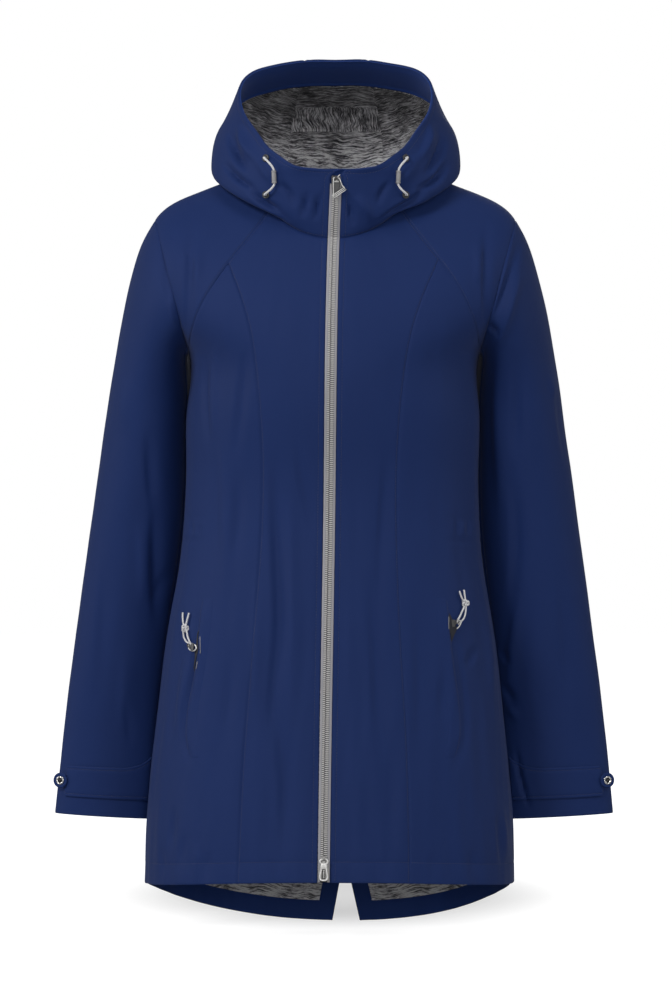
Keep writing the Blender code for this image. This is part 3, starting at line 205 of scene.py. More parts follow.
# Half of the hood's edge in the front view: turn in degrees, half width, height
RIM = (
    (0, 0.0000, 0.0285), (28, 0.0436, 0.0310), (41, 0.0600, 0.0416), (54, 0.0752, 0.0541),
    (66, 0.0863, 0.0693), (78, 0.0967, 0.0834), (90, 0.1048, 0.0998), (101, 0.1068, 0.1184),
    (110, 0.1028, 0.1322), (122, 0.0890, 0.1440), (136, 0.0685, 0.1503), (158, 0.0345, 0.1556),
    (180, 0.0000, 0.1560),
)


class SleeveRing(NamedTuple):
    """One ring of a sleeve: where it meets the front view's two outlines, and its depth."""

    name: str
    down: float
    outer_x: float
    outer_z: float
    inner_x: float
    inner_z: float
    middle_y: float
    half_depth: float


SLEEVE = (
    SleeveRing("armhole", 0.00, 0.1980, -0.0215, 0.1600, -0.1680, 0.004, 0.068),
    SleeveRing("head", 0.04, 0.2105, -0.0430, 0.1616, -0.1712, 0.009, 0.072),
    SleeveRing("cap", 0.10, 0.2243, -0.0830, 0.1622, -0.1770, 0.018, 0.074),
    SleeveRing("upper", 0.21, 0.2392, -0.1500, 0.1604, -0.1940, 0.034, 0.074),
    SleeveRing("biceps", 0.33, 0.2505, -0.2200, 0.1586, -0.2260, 0.044, 0.070),
    SleeveRing("above_elbow", 0.45, 0.2612, -0.2930, 0.1592, -0.2950, 0.049, 0.062),
    SleeveRing("elbow", 0.56, 0.2715, -0.3640, 0.1620, -0.3640, 0.052, 0.054),
    SleeveRing("forearm", 0.68, 0.2822, -0.4420, 0.1715, -0.4430, 0.055, 0.046),
    SleeveRing("lower", 0.80, 0.2928, -0.5220, 0.1815, -0.5240, 0.058, 0.038),
    SleeveRing("wrist", 0.92, 0.3027, -0.6020, 0.1895, -0.6050, 0.061, 0.031),
    SleeveRing("cuff", 1.00, 0.3103, -0.6775, 0.1940, -0.6840, 0.063, 0.027),
)


class Side(Enum):
    """The wearer's left or right, with its direction along X."""

    LEFT = 1
    RIGHT = -1

    @property
    def word(self) -> str:
        """The side's name in the names of pieces."""
        return self.name.lower()


class View(Enum):
    """Which half of the coat a set of creases lies on."""

    FRONT = "front"
    BACK = "back"


# ---------------------------------------------------------------------------------------------
# Curves and surfaces


def weights(keys: Array, at: Array) -> Array:
    """How much each row counts at each place, on a natural cubic spline through rows at keys.

    Args:
        keys: increasing places of the rows.
        at: where the spline is read.

    Returns:
        The rows' weights, one more axis than at.
    """
    keys = np.asarray(keys, float)
    at = np.asarray(at, float)
    count = len(keys)
    step = np.diff(keys)
    rows = np.eye(count)
    bend, pull = np.eye(count), np.zeros((count, count))
    for i in range(1, count - 1):
        bend[i, i - 1 : i + 2] = step[i - 1], 2 * (step[i - 1] + step[i]), step[i]
        pull[i] = 6 * ((rows[i + 1] - rows[i]) / step[i] - (rows[i] - rows[i - 1]) / step[i - 1])
    curve = np.linalg.solve(bend, pull)
    i = np.clip(np.searchsorted(keys, at) - 1, 0, count - 2)
    size = step[i][..., None]
    after = (at - keys[i])[..., None] / size
    before = 1 - after
    straight = before * rows[i] + after * rows[i + 1]
    return straight + ((before**3 - before) * curve[i] + (after**3 - after) * curve[i + 1]) * size**2 / 6


def spline(rows: tuple[tuple[float, float], ...], at: Array) -> Array:
    """A smooth curve through rows of (key, value), straight beyond its ends."""
    keys, values = np.array(rows, float).T
    inside = np.clip(at, keys[0], keys[-1])
    slopes = np.diff(values) / np.diff(keys)
    beyond = np.asarray(at) - inside
    return weights(keys, inside) @ values + beyond * np.where(beyond < 0, slopes[0], slopes[-1])


def unit(vectors: Array) -> Array:
    """Vectors of length one."""
    return vectors / np.maximum(np.linalg.norm(vectors, axis=-1, keepdims=True), 1e-12)


def ease(share: Array) -> Array:
    """A smooth step from 0 to 1: 3 s^2 - 2 s^3."""
    share = np.clip(share, 0, 1)
    return share * share * (3 - 2 * share)


def ring_heights() -> Array:
    """Each torso ring's share of the way from hem to neck, by the mean of side and front."""
    along = [0.0]
    for low, high in zip(TORSO, TORSO[1:]):
        side = math.hypot(high.side_z - low.side_z, high.half_width - low.half_width)
        front = math.hypot(high.front_z - low.front_z, high.front_depth - low.front_depth)
        along.append(along[-1] + (side + front) / 2)
    return np.array(along) / along[-1]


HEIGHTS = ring_heights()
HEIGHT = {ring.name: float(height) for ring, height in zip(TORSO, HEIGHTS)}
TORSO_SIZES = np.array([ring[1:] for ring in TORSO], float)
SLEEVE_SIZES = np.array([ring[2:] for ring in SLEEVE], float)
SLEEVE_KEYS = np.array([ring.down for ring in SLEEVE])


def level(z: float) -> float:
    """The height at which the torso's side is at z."""
    return float(np.interp(z, TORSO_SIZES[:, 0], HEIGHTS))


def torso(turn: Array, height: Array) -> Array:
    """Rounded rings from hem to neck: |sin|^p across and |cos|^p along, with a hem that falls.

    Args:
        turn: 0 at the centre front, +-pi at the back, in radians.
        height: 0 at the hem and 1 at the neck seam.

    Returns:
        Points, in metres.
    """
    turn, height = np.broadcast_arrays(np.asarray(turn, float), np.asarray(height, float))
    sizes = np.moveaxis(weights(HEIGHTS, height) @ TORSO_SIZES, -1, 0)
    side_z, front_z, back_z, half_width, front_depth, back_depth = sizes[:6]
    roundness, front_fall, back_fall = sizes[6:]
    across, along = np.sin(turn), np.cos(turn)
    reach = np.abs(along)
    power = 2 / roundness
    front = along > 0
    x = half_width * np.sign(across) * np.abs(across) ** power
    y = np.where(front, -front_depth, back_depth) * reach**power
    fall = np.where(front, (front_z - side_z) * reach**front_fall, (back_z - side_z) * reach**back_fall)
    z = side_z + fall
    middle = spline(MIDDLE, z)
    centre = np.where(front, spline(CENTRE_FRONT, z), spline(CENTRE_BACK, z))
    return np.stack((x + middle + (centre - middle) * along**2, y, z), -1)


def hood_oval(turn: Array, ring: HoodRing) -> Array:
    """One ring of the hood: an oval whose height changes from front to side to back."""
    across, along = np.sin(turn), np.cos(turn)
    reach = np.abs(along)
    front = along > 0
    power = 2 / ring.roundness
    x = ring.half_width * np.sign(across) * np.abs(across) ** power
    deep = np.where(front, ring.front_y - ring.side_y, ring.back_y - ring.side_y)
    high = np.where(front, ring.front_z - ring.side_z, ring.back_z - ring.side_z)
    y = ring.side_y + deep * reach**power
    z = ring.side_z + high * reach**ring.fall
    return np.stack((x, y, z), -1)


def rim(turn: Array) -> Array:
    """The hood's edge: its outline in the front view, sloping back from the chin to the top."""
    turn = (np.asarray(turn, float) + math.pi) % (2 * math.pi) - math.pi
    rows = np.array(RIM, float)
    keys = np.radians(rows[:, 0])
    keys = np.concatenate(([-keys[1]], keys, [2 * math.pi - keys[-2]]))
    half_width = np.concatenate(([-rows[1, 1]], rows[:, 1], [-rows[-2, 1]]))
    height = np.concatenate(([rows[1, 2]], rows[:, 2], [rows[-2, 2]]))
    share = weights(keys, np.abs(turn))
    z = share @ height
    slope = (z - RIM[0][2]) / (RIM[-1][2] - RIM[0][2])
    y = RIM_FRONT_Y + (RIM_TOP_Y - RIM_FRONT_Y) * slope
    return np.stack((np.sign(turn) * (share @ half_width), y, z), -1)


def hood(turn: Array, rise: Array) -> Array:
    """From the neck seam through the hood's rings to its edge. turn is as on the torso."""
    turn, rise = np.broadcast_arrays(np.asarray(turn, float), np.asarray(rise, float))
    rings = [hood_oval(turn, ring) for ring in HOOD] + [rim(turn)]
    front = np.cos(turn) > 0
    for ring in rings:
        middle = spline(MIDDLE, ring[..., 2])
        below = np.minimum(ring[..., 2], CENTRE_FRONT[-1][0])
        centre = np.where(front, spline(CENTRE_FRONT, below), middle)
        ring[..., 0] += middle + (centre - middle) * np.cos(turn) ** 2
    rings = np.stack([torso(turn, 1.0), *rings], -2)
    share = weights([0.0, *(ring.rise for ring in HOOD), 1.0], rise)
    return (share[..., None] * rings).sum(-2)


def turn_where(surface: Points, along: Array, side: int, beyond: Test, back: bool = False) -> Array:
    """The turn at which beyond(point) becomes true, halving the way from the centre to the side."""
    along = np.asarray(along, float)
    low, high = np.zeros_like(along), np.full_like(along, math.pi / 2)
    for _ in range(30):
        middle = (low + high) / 2
        past = beyond(surface(side * (math.pi - middle if back else middle), along))
        low, high = np.where(past, low, middle), np.where(past, middle, high)
    return side * (math.pi - high if back else high)


def past(side: int, centre: tuple, distance: Line, top: float = math.inf) -> Test:
    """True past a line at distance(z) from a centre line, which stays upright above its top."""

    def beyond(point: Array) -> Array:
        """Whether a point is past the line."""
        x, z = point[..., 0], point[..., 2]
        return side * (x - spline(centre, np.minimum(z, top))) > distance(z)

    return beyond


def steady(value: float) -> Line:
    """A line at one value."""
    return lambda rows: 0 * rows + value


def off_front(side: int, rows: tuple | float, more: float = 0.0) -> Test:
    """True past a front line whose distance from the centre front is given by rows or a number."""
    return past(side, CENTRE_FRONT, lambda z: (spline(rows, z) if isinstance(rows, tuple) else rows) + more)


def off_middle(side: int, rows: tuple, more: float = 0.0) -> Test:
    """True past a line whose distance from the middle of the body is given by rows."""
    return past(side, MIDDLE, lambda z: spline(rows, z) + more)


def off_back(side: int, distance: Line) -> Test:
    """True past a line at distance(z) from the centre back."""
    return past(side, CENTRE_BACK, distance)


def off_hood_front(side: int, distance: Array) -> Test:
    """True past a line beside the hood's centre front."""
    return past(side, CENTRE_FRONT, lambda z: distance, CENTRE_FRONT[-1][0])


def past_armhole(side: int, more: float = 0.0) -> Test:
    """True past the armhole's plane, which leans in from the shoulder to the armpit."""
    armpit, shoulder = TORSO[9], TORSO[12]
    lean = (shoulder.half_width - armpit.half_width) / (shoulder.side_z - armpit.side_z)

    def beyond(point: Array) -> Array:
        """Whether a point is past the plane."""
        plane = armpit.half_width + (point[..., 2] - armpit.side_z) * lean
        return side * (point[..., 0] - spline(MIDDLE, point[..., 2])) > plane + more

    return beyond


def vent_edge(z: Array) -> Array:
    """Half of the vent's width, closing to a seam at its top."""
    open_share = np.clip((VENT_TOP_Z - z) / (VENT_TOP_Z - TORSO[0].back_z), 0, 1)
    return -SEAM_OVERLAP + VENT_HALF_WIDTH * open_share


def armhole(side: int, around: Array) -> Array:
    """The armhole's edge on the torso: around is 0 at the shoulder, pi/2 in front, pi at the armpit."""
    return torso(*armhole_places(side, np.asarray(around, float) % (2 * math.pi)))


def armhole_places(side: int, around: Array) -> tuple[Array, Array]:
    """The torso's turns and heights along the armhole's edge."""
    height = HEIGHT["shoulder"] + (HEIGHT["armpit"] - HEIGHT["shoulder"]) * (1 - np.cos(around)) / 2
    front = turn_where(torso, height, side, past_armhole(side))
    back = turn_where(torso, height, side, past_armhole(side), back=True)
    return np.where(np.sin(around) >= -1e-12, front, back), height


class Armholes:
    """The armhole's edge, worked out once for each side and then read between its places."""

    COUNT = 720
    tables: dict[int, Array] = {}

    @classmethod
    def at(cls, side: int, around: Array) -> Array:
        """Points of one armhole, by interpolation round the circle."""
        if side not in cls.tables:
            cls.tables[side] = armhole(side, np.linspace(0, 2 * math.pi, cls.COUNT + 1))
        place = (np.asarray(around, float) % (2 * math.pi)) / (2 * math.pi) * cls.COUNT
        i = np.clip(place.astype(int), 0, cls.COUNT - 1)
        share = (place - i)[..., None]
        return cls.tables[side][i] * (1 - share) + cls.tables[side][i + 1] * share


def sleeve_oval(side: int, around: Array, down: Array) -> Array:
    """An oval between the sleeve's two front outlines, as deep as its table says."""
    sizes = weights(SLEEVE_KEYS, down) @ SLEEVE_SIZES
    outer_x, outer_z, inner_x, inner_z, middle_y, half_depth = np.moveaxis(sizes, -1, 0)
    outer_x = side * outer_x + 0.0016 * (1 + outer_z / 0.68)
    inner_x = side * inner_x + spline(MIDDLE, inner_z)
    share = (1 + np.cos(around)) / 2
    return np.stack(
        (
            inner_x + (outer_x - inner_x) * share,
            middle_y - half_depth * np.sin(around),
            inner_z + (outer_z - inner_z) * share,
        ),
        -1,
    )


def sleeve_of(side: int) -> Points:
    """One sleeve's surface: it starts on the armhole's edge and turns into plain ovals below."""

    def surface(around: Array, down: Array) -> Array:
        """Points at an angle around the sleeve and a share down it."""
        around, down = np.broadcast_arrays(np.asarray(around, float), np.asarray(down, float))
        fade = (np.clip(1 - down / ARMHOLE_FADE, 0, 1) ** 2)[..., None]
        start = Armholes.at(side, around) - sleeve_oval(side, around, np.zeros_like(around))
        return sleeve_oval(side, around, down) + start * fade

    return surface


def normals(surface: Points, across: Array, along: Array, flip: float = 1.0, step: float = 4e-4) -> Array:
    """Unit normals of a surface, from small steps both ways."""
    one = surface(across + step, along) - surface(across - step, along)
    two = surface(across, along + step) - surface(across, along - step)
    return flip * unit(np.cross(one, two))


def neck_normals(turn: Array) -> Array:
    """Shared normals along the neck seam, where the hood folds over the shoulders."""
    ones = np.ones_like(turn)
    out = np.stack((np.sin(turn), -np.cos(turn), 0 * turn), -1)
    return unit(normals(torso, turn, ones) + normals(hood, turn, 0 * ones) + 0.6 * out)


def neck(across: Array, along: Array) -> Array:
    """The neck seam's normals, as a panel's mitre."""
    return neck_normals(across)


def armhole_normals(side: int, around: Array) -> Array:
    """Shared normals along the armhole, where body and sleeve meet."""
    turn, height = armhole_places(side, around)
    arm = normals(sleeve_of(side), around, 0 * around + 0.004, side, 2e-3)
    down = np.array((0.0, 0.0, -1.0)) * (1 - np.cos(around))[..., None] / 2
    return unit(normals(torso, turn, height) + arm + 0.5 * down)


def armhole_angle(rows: Array, back: bool) -> Array:
    """The angle round the armhole at each height of the torso."""
    share = (rows - HEIGHT["armpit"]) / (HEIGHT["shoulder"] - HEIGHT["armpit"])
    return np.arccos(np.clip(share * 2 - 1, -1, 1)) * (-1 if back else 1)


def seam_crossing(side: int) -> float:
    """The height at which the princess seam runs into the yoke seam."""
    low, high = HEIGHT["armpit"], 1.0
    for _ in range(24):
        middle = np.array([(low + high) / 2])
        princess = abs(turn_where(torso, middle, side, off_front(side, PRINCESS))[0])
        yoke = abs(turn_where(torso, middle, side, off_middle(side, YOKE_SEAM))[0])
        low, high = (middle[0], high) if princess < yoke else (low, middle[0])
    return float(low)


# ---------------------------------------------------------------------------------------------
# Creases


@dataclass(frozen=True)
class Crease:
    """A soft trough, or a ridge where its depth is negative, along a smooth line.

    Its height at a distance r, in widths, is -depth (1 - 0.7 r^2) exp(-r^2), steeper on one flank,
    and it fades towards both ends. Depth, width and the (x, z) places are in millimetres.
    """

    name: str
    depth: float
    width: float
    path: tuple[tuple[float, float], ...]
    SAMPLES = 14
    LEAN = 0.30
    STRENGTH = 2.5

    def relief(self, x: Array, z: Array) -> Array:
        """The crease's height at points seen from the front or the back.

        Args:
            x: places across, in metres.
            z: heights, in metres.

        Returns:
            The height over the plain surface, in metres.
        """
        rows = np.array(self.path, float) * MM
        keys = np.concatenate(([0], np.cumsum(np.linalg.norm(np.diff(rows, axis=0), axis=1))))
        line = weights(keys, np.linspace(0, keys[-1], self.SAMPLES)) @ rows
        reach = self.width * MM * 3
        low, high = line.min(0) - reach, line.max(0) + reach
        near = (x > low[0]) & (x < high[0]) & (z > low[1]) & (z < high[1])
        out = np.zeros_like(x)
        if not near.any():
            return out
        point = np.stack((x[near], z[near]), -1)[:, None]
        start, span = line[:-1], np.diff(line, axis=0)
        share = np.clip(((point - start) * span).sum(-1) / (span**2).sum(-1), 0, 1)
        apart = point - (start + share[..., None] * span)
        distance = np.linalg.norm(apart, axis=-1)
        best = distance.argmin(1)
        pick = np.arange(len(best))
        along = (best + share[pick, best]) / (self.SAMPLES - 1)
        flank = np.sign(span[best, 0] * apart[pick, best, 1] - span[best, 1] * apart[pick, best, 0])
        r = distance[pick, best] / (self.width * MM * (1 + self.LEAN * flank))
        fade = np.sin(math.pi * along) ** 1.15
        out[near] = -self.depth * self.STRENGTH * MM * fade * (1 - 0.7 * r**2) * np.exp(-(r**2))
        return out


def creases(*rows: tuple) -> tuple[Crease, ...]:
    """Creases from rows of name, depth, width and the (x, z) places along them."""
    return tuple(Crease(name, depth, width, tuple(path)) for name, depth, width, *path in rows)


def relief_of(table: tuple[Crease, ...], x: Array, z: Array) -> Array:
    """The sum of a table's creases."""
    return sum(crease.relief(x, z) for crease in table)


FRONT_CREASES = creases(
    ("yoke_by_right_armhole", 1.2, 6.5, (-155, -22), (-158, -79), (-160, -150)),
    ("yoke_right_ridge", -0.9, 6, (-148, -48), (-151, -103)),
    ("yoke_by_left_armhole", 1.3, 5.5, (167, -20), (164, -72), (165, -145)),
    ("yoke_left_ridge", -0.9, 6, (156, -40), (155, -97)),
    ("right_chest_outer", 0.9, 5.5, (-139, -170), (-141, -222), (-136, -272)),
    ("right_chest_ridge", -1.1, 5, (-130, -162), (-133, -211), (-131, -267)),
    ("right_chest_inner", 1.3, 7, (-95, -163), (-101, -222), (-107, -285)),
    ("right_rib", 1.1, 8, (-104, -295), (-106, -363), (-110, -402)),
    ("right_waist_ridge", -0.9, 9, (-121, -254), (-119, -352), (-116, -443)),
    ("right_front_long", 2.0, 9, (-66, -275), (-62, -395), (-61, -482), (-67, -570), (-64, -610)),
    ("right_front_low", 1.5, 10, (-66, -530), (-57, -600), (-53, -725)),
    ("right_front_ridge", -1.1, 9, (-48, -320), (-45, -450), (-48, -600)),
    ("right_front_outer", -1.0, 8, (-82, -390), (-86, -480), (-84, -590)),
    ("right_by_zip", 0.7, 7, (-42, -260), (-32, -324), (-16, -380)),
    ("left_front_waist", 1.1, 8, (58, -270), (53, -340), (49, -430)),
    ("left_front_hip", 1.3, 10, (42, -400), (44, -490), (50, -610)),
    ("left_front_low", 0.8, 10, (66, -560), (61, -640), (58, -730)),
    ("left_front_outer", 0.8, 9, (84, -420), (92, -520), (90, -640)),
    ("left_pocket_bag", 1.0, 4.5, (127, -470), (137, -516), (141, -574), (136, -606), (124, -624)),
    ("left_pocket_ridge", -0.7, 7, (121, -470), (127, -529), (124, -610)),
    ("left_pocket_inner", 0.8, 6, (115, -521), (116, -568)),
    ("left_side_ridge", -1.3, 7, (159, -434), (169, -493), (172, -551)),
    ("left_side_pull", 1.1, 5, (143, -512), (158, -488)),
    ("right_pocket_line", 1.5, 3.5, (-148, -425), (-150, -482), (-154, -520), (-161, -560),
     (-160, -600), (-150, -622)),
    ("right_pocket_ridge", -1.3, 7, (-158, -490), (-166, -547), (-170, -592)),
    ("right_hip_soft", 0.8, 9, (-110, -482), (-115, -547), (-113, -603)),
    ("right_hem_1", 1.0, 5, (-174, -662), (-178, -711)),
    ("right_hem_2", 0.8, 4, (-161, -690), (-166, -727)),
    ("right_hem_3", -0.9, 4, (-148, -698), (-149, -743)),
    ("right_hem_4", 0.7, 5, (-136, -707), (-139, -743)),
    ("right_hem_5", 0.7, 4, (-188, -705), (-185, -742)),
    ("left_hem_1", -1.0, 4, (182, -662), (189, -724)),
    ("left_hem_2", 1.1, 4, (176, -668), (183, -737)),
    ("left_hem_3", 0.6, 5, (105, -709), (107, -743)),
    ("left_hem_4", 0.7, 5, (146, -707), (150, -743)),
    ("left_hem_5", 0.5, 5, (55, -705), (54, -743)),
    ("left_casing_top", 0.45, 2.2, (120, -351), (142, -352), (170, -350)),
    ("left_casing_low", 0.60, 2.2, (114, -373), (142, -374), (172, -372)),
    ("right_casing_top", 0.40, 2.2, (-172, -351), (-152, -352), (-136, -351)),
    ("right_casing_low", 0.50, 2.2, (-174, -373), (-154, -374), (-138, -373)),
    ("right_casing_1", 0.9, 2.5, (-156, -352), (-156, -369)),
    ("right_casing_2", 0.7, 2.5, (-147, -354), (-148, -369)),
    ("left_casing_1", 0.9, 2.5, (133, -350), (133, -370)),
    ("left_casing_2", -0.6, 2.5, (140, -350), (140, -371)),
    ("left_casing_3", 0.9, 2.5, (146, -350), (147, -371)),
)
BACK_CREASES = creases(
    ("left_blade", 1.7, 6, (152, -45), (148, -95), (156, -140)),
    ("left_blade_ridge", -1.1, 7, (138, -50), (134, -110), (141, -150)),
    ("right_blade", 1.5, 5.5, (-149, -40), (-153, -90), (-150, -138)),
    ("right_blade_ridge", -1.0, 7, (-136, -55), (-138, -120)),
    ("left_underarm", 1.3, 6, (153, -176), (128, -205), (96, -222)),
    ("right_underarm", 1.2, 6, (-150, -180), (-124, -212), (-98, -236)),
    ("left_rib", 1.2, 8, (92, -250), (97, -300), (90, -342)),
    ("right_rib", 1.3, 8, (-88, -240), (-95, -296), (-93, -343)),
    ("middle_rib", -0.9, 9, (26, -240), (22, -335)),
    ("left_waist_1", 1.4, 4, (35, -348), (34, -371)),
    ("left_waist_2", 1.1, 3.5, (52, -347), (54, -372)),
    ("left_waist_3", -0.8, 4, (70, -346), (71, -372)),
    ("left_waist_4", 1.2, 4, (88, -347), (86, -371)),
    ("left_waist_5", 1.0, 4, (112, -346), (113, -371)),
    ("right_waist_1", 1.2, 4, (-24, -347), (-25, -371)),
    ("right_waist_2", -0.9, 4, (-42, -347), (-44, -372)),
    ("right_waist_3", 1.3, 4, (-63, -348), (-61, -371)),
    ("right_waist_4", 1.0, 3.5, (-82, -346), (-84, -371)),
    ("right_waist_5", 1.1, 4, (-106, -347), (-104, -372)),
    ("left_skirt", 2.1, 10, (78, -378), (86, -470), (82, -585), (90, -690)),
    ("left_skirt_ridge", -1.1, 10, (60, -400), (62, -540), (56, -660)),
    ("right_skirt", 2.0, 10, (-70, -380), (-74, -500), (-84, -622)),
    ("right_skirt_ridge", -1.2, 10, (-96, -420), (-104, -560), (-110, -650)),
    ("left_seat", 1.2, 9, (130, -470), (138, -560), (134, -640)),
    ("right_seat", 1.1, 9, (-132, -460), (-140, -540), (-150, -600)),
    ("by_vent_left", 1.0, 6, (30, -650), (34, -720), (38, -790)),
    ("by_vent_right", -0.9, 6, (-14, -640), (-20, -715), (-22, -785)),
    ("left_hem_pucker_1", 0.8, 4.5, (120, -735), (124, -775)),
    ("left_hem_pucker_2", -0.7, 5, (76, -745), (80, -790)),
    ("right_hem_pucker_1", 0.8, 4.5, (-112, -740), (-116, -778)),
    ("right_hem_pucker_2", 0.7, 4.5, (-62, -750), (-65, -795)),
)
SLEEVE_CREASES = {
    (Side.RIGHT, View.FRONT): creases(
        ("inner_upper", 1.3, 7, (-205, -252), (-203, -298), (-199, -345)),
        ("ridge", -1.1, 9, (-213, -350), (-211, -395), (-210, -447)),
        ("inner_elbow", 1.5, 8, (-197, -326), (-199, -395), (-196, -475)),
        ("elbow_wedge", 0.5, 7, (-182, -402), (-191, -423), (-201, -443)),
        ("outer_soft", -0.6, 9, (-231, -196), (-234, -259)),
        ("by_armhole_ridge", -1.0, 4, (-181, -109), (-174, -139)),
        ("by_armhole", 0.8, 5, (-188, -44), (-184, -81), (-179, -118)),
        ("lower_soft", 0.8, 10, (-252, -391), (-256, -471), (-258, -551)),
        ("lower_ridge", -0.6, 10, (-230, -482), (-234, -590)),
        ("cuff_soft", 0.5, 6, (-232, -547), (-225, -603)),
    ),
    (Side.LEFT, View.FRONT): creases(
        ("from_shoulder", 2.1, 4.5, (203, -42), (187, -95), (170, -144)),
        ("shoulder_ridge", -1.7, 6, (205, -77), (190, -124), (179, -165)),
        ("armpit_pinch", 1.7, 4, (163, -140), (171, -143), (182, -152)),
        ("inner_upper", 1.4, 8, (198, -165), (199, -222), (197, -289)),
        ("inner_ridge", -1.3, 8, (180, -161), (179, -254), (183, -343)),
        ("elbow", 1.3, 8, (196, -306), (200, -373), (194, -447)),
        ("forearm_ridge", -1.0, 8, (208, -425), (197, -482), (193, -549)),
        ("wrist_1", 1.0, 4.5, (182, -495), (195, -512)),
        ("wrist_2", 1.2, 4.5, (186, -534), (199, -555)),
        ("wrist_3", -0.9, 4.5, (189, -558), (204, -573)),
        ("outer_ridge", -0.8, 6, (236, -191), (243, -222)),
        ("outer_soft", 0.8, 6, (243, -202), (249, -243), (256, -291)),
        ("lower_soft", 0.7, 10, (247, -395), (254, -482), (258, -558)),
        ("cuff_inner", 1.5, 3.2, (200, -603), (207, -640), (217, -674)),
    ),
    (Side.RIGHT, View.BACK): creases(
        ("from_shoulder", 1.5, 6, (-205, -55), (-192, -110), (-176, -150)),
        ("shoulder_ridge", -1.0, 7, (-214, -80), (-203, -135), (-192, -176)),
        ("elbow_1", 1.6, 6, (-182, -372), (-205, -362), (-232, -368)),
        ("elbow_2", 1.3, 6, (-186, -410), (-212, -404), (-240, -412)),
        ("elbow_ridge", -1.0, 6, (-190, -390), (-214, -384), (-238, -390)),
        ("forearm", 1.1, 8, (-215, -440), (-232, -500), (-236, -580)),
        ("upper", 1.0, 8, (-205, -190), (-216, -250), (-214, -315)),
    ),
    (Side.LEFT, View.BACK): creases(
        ("from_shoulder", 1.7, 6, (207, -50), (196, -100), (180, -148)),
        ("shoulder_ridge", -1.1, 7, (216, -84), (206, -140), (197, -180)),
        ("elbow_1", 1.4, 6, (186, -352), (209, -346), (234, -354)),
        ("elbow_2", 1.6, 6, (184, -392), (210, -388), (240, -398)),
        ("elbow_ridge", -1.1, 6, (188, -372), (212, -367), (236, -376)),
        ("forearm", 1.2, 8, (222, -430), (234, -498), (244, -566)),
        ("upper", 0.9, 8, (208, -180), (212, -236), (219, -300)),
    ),
}
HOOD_CREASES = creases(
    ("right_by_zip_1", 0.8, 3, (-16, 4), (-22, -29)),
    ("right_by_zip_2", 0.7, 3.5, (-29, 6), (-36, -26)),
    ("left_by_zip_1", -0.9, 6, (24, 1), (41, -29)),
    ("left_by_zip_2", 0.8, 4, (15, -1), (20, -35)),
    ("right_side_1", 1.3, 5, (-114, 74), (-108, 48), (-94, 26)),
    ("right_side_2", -1.0, 6, (-104, 80), (-98, 56), (-84, 38)),
    ("right_side_3", 1.1, 4.5, (-122, 40), (-104, 18), (-84, 6)),
    ("right_under_cord", 1.0, 5, (-98, 12), (-76, -8), (-54, -18)),
    ("right_under_fold", 0.7, 4, (-84, -1), (-64, -17), (-46, -29)),
    ("left_under_fold", 0.7, 4, (85, -2), (64, -17), (46, -28)),
    ("right_swell", -0.6, 7, (-88, 46), (-74, 24), (-60, 8)),
    ("left_swell", -0.6, 7, (92, 50), (80, 26), (64, 10)),
    ("right_chin", 0.7, 4, (-64, 14), (-50, 4), (-44, -14)),
    ("left_side_1", 1.2, 5, (118, 70), (112, 46), (98, 24)),
    ("left_side_2", -1.0, 6, (106, 84), (102, 58), (90, 38)),
    ("left_side_3", 1.2, 4.5, (124, 42), (110, 20), (88, 8)),
    ("left_under_cord", 1.0, 5, (100, 10), (80, -8), (58, -20)),
    ("left_chin", 0.8, 4, (60, 16), (50, 2), (47, -12)),
)
HOOD_BACK_CREASES = creases(
    ("left_fall", 1.6, 7, (92, 74), (78, 46), (70, 22)),
    ("right_fall", 1.5, 7, (-88, 78), (-76, 48), (-62, 24)),
    ("left_fall_ridge", -1.1, 8, (70, 86), (60, 58), (52, 36)),
    ("right_fall_ridge", -1.0, 8, (-66, 90), (-58, 60), (-46, 38)),
    ("middle_dent", 1.2, 9, (12, 96), (6, 66), (10, 40)),
    ("neck_left", 1.3, 5, (84, 30), (56, 12), (24, 8)),
    ("neck_right", 1.2, 5, (-86, 30), (-54, 14), (-20, 9)),
)


def drift(x: Array, z: Array, size: float) -> Array:
    """The cloth's slow unevenness: a sum of three products of sines of x and z."""
    slow = np.sin(38 * x + 9 * z + 0.7) * np.sin(13 * z - 21 * x + 2.1)
    middle = 0.6 * np.sin(71 * x - 17 * z + 1.9) * np.sin(29 * z + 12 * x + 0.4)
    quick = 0.3 * np.sin(133 * x + 31 * z) * np.sin(57 * z - 44 * x + 1.3)
    return size * (slow + middle + quick)


def body_relief(point: Array) -> Array:
    """The torso's creases, front and back, with slow waves that grow towards the hem."""
    x, y, z = np.moveaxis(point, -1, 0)
    front = ease(0.5 - y / 0.03)
    relief = relief_of(FRONT_CREASES, x, z) * front + relief_of(BACK_CREASES, x, z) * (1 - front)
    fall = 0.25 + 0.75 * ease((-0.25 - z) / 0.4)
    turn = np.arctan2(x, -y)
    flutes = np.sin(9 * turn + 3.1 * z + 0.6) * 0.0007 + np.sin(17 * turn - 5 * z + 2.0) * 0.0003
    flutes += 0.0006 * np.sin(31 * turn + 2.2 * np.sin(9 * z + 1.0)) * np.sin(17 * z + 5 * turn)
    flutes += 0.0003 * np.sin(53 * turn + 1.7 * np.sin(16 * z)) * np.sin(29 * z - 9 * turn + 1.0)
    fullness = SIDE_FULLNESS * np.exp(-(((y - 0.032) / 0.022) ** 2) - ((z + 0.182) / 0.024) ** 2)
    return relief + drift(x, z, 0.0004) + flutes * fall + fullness


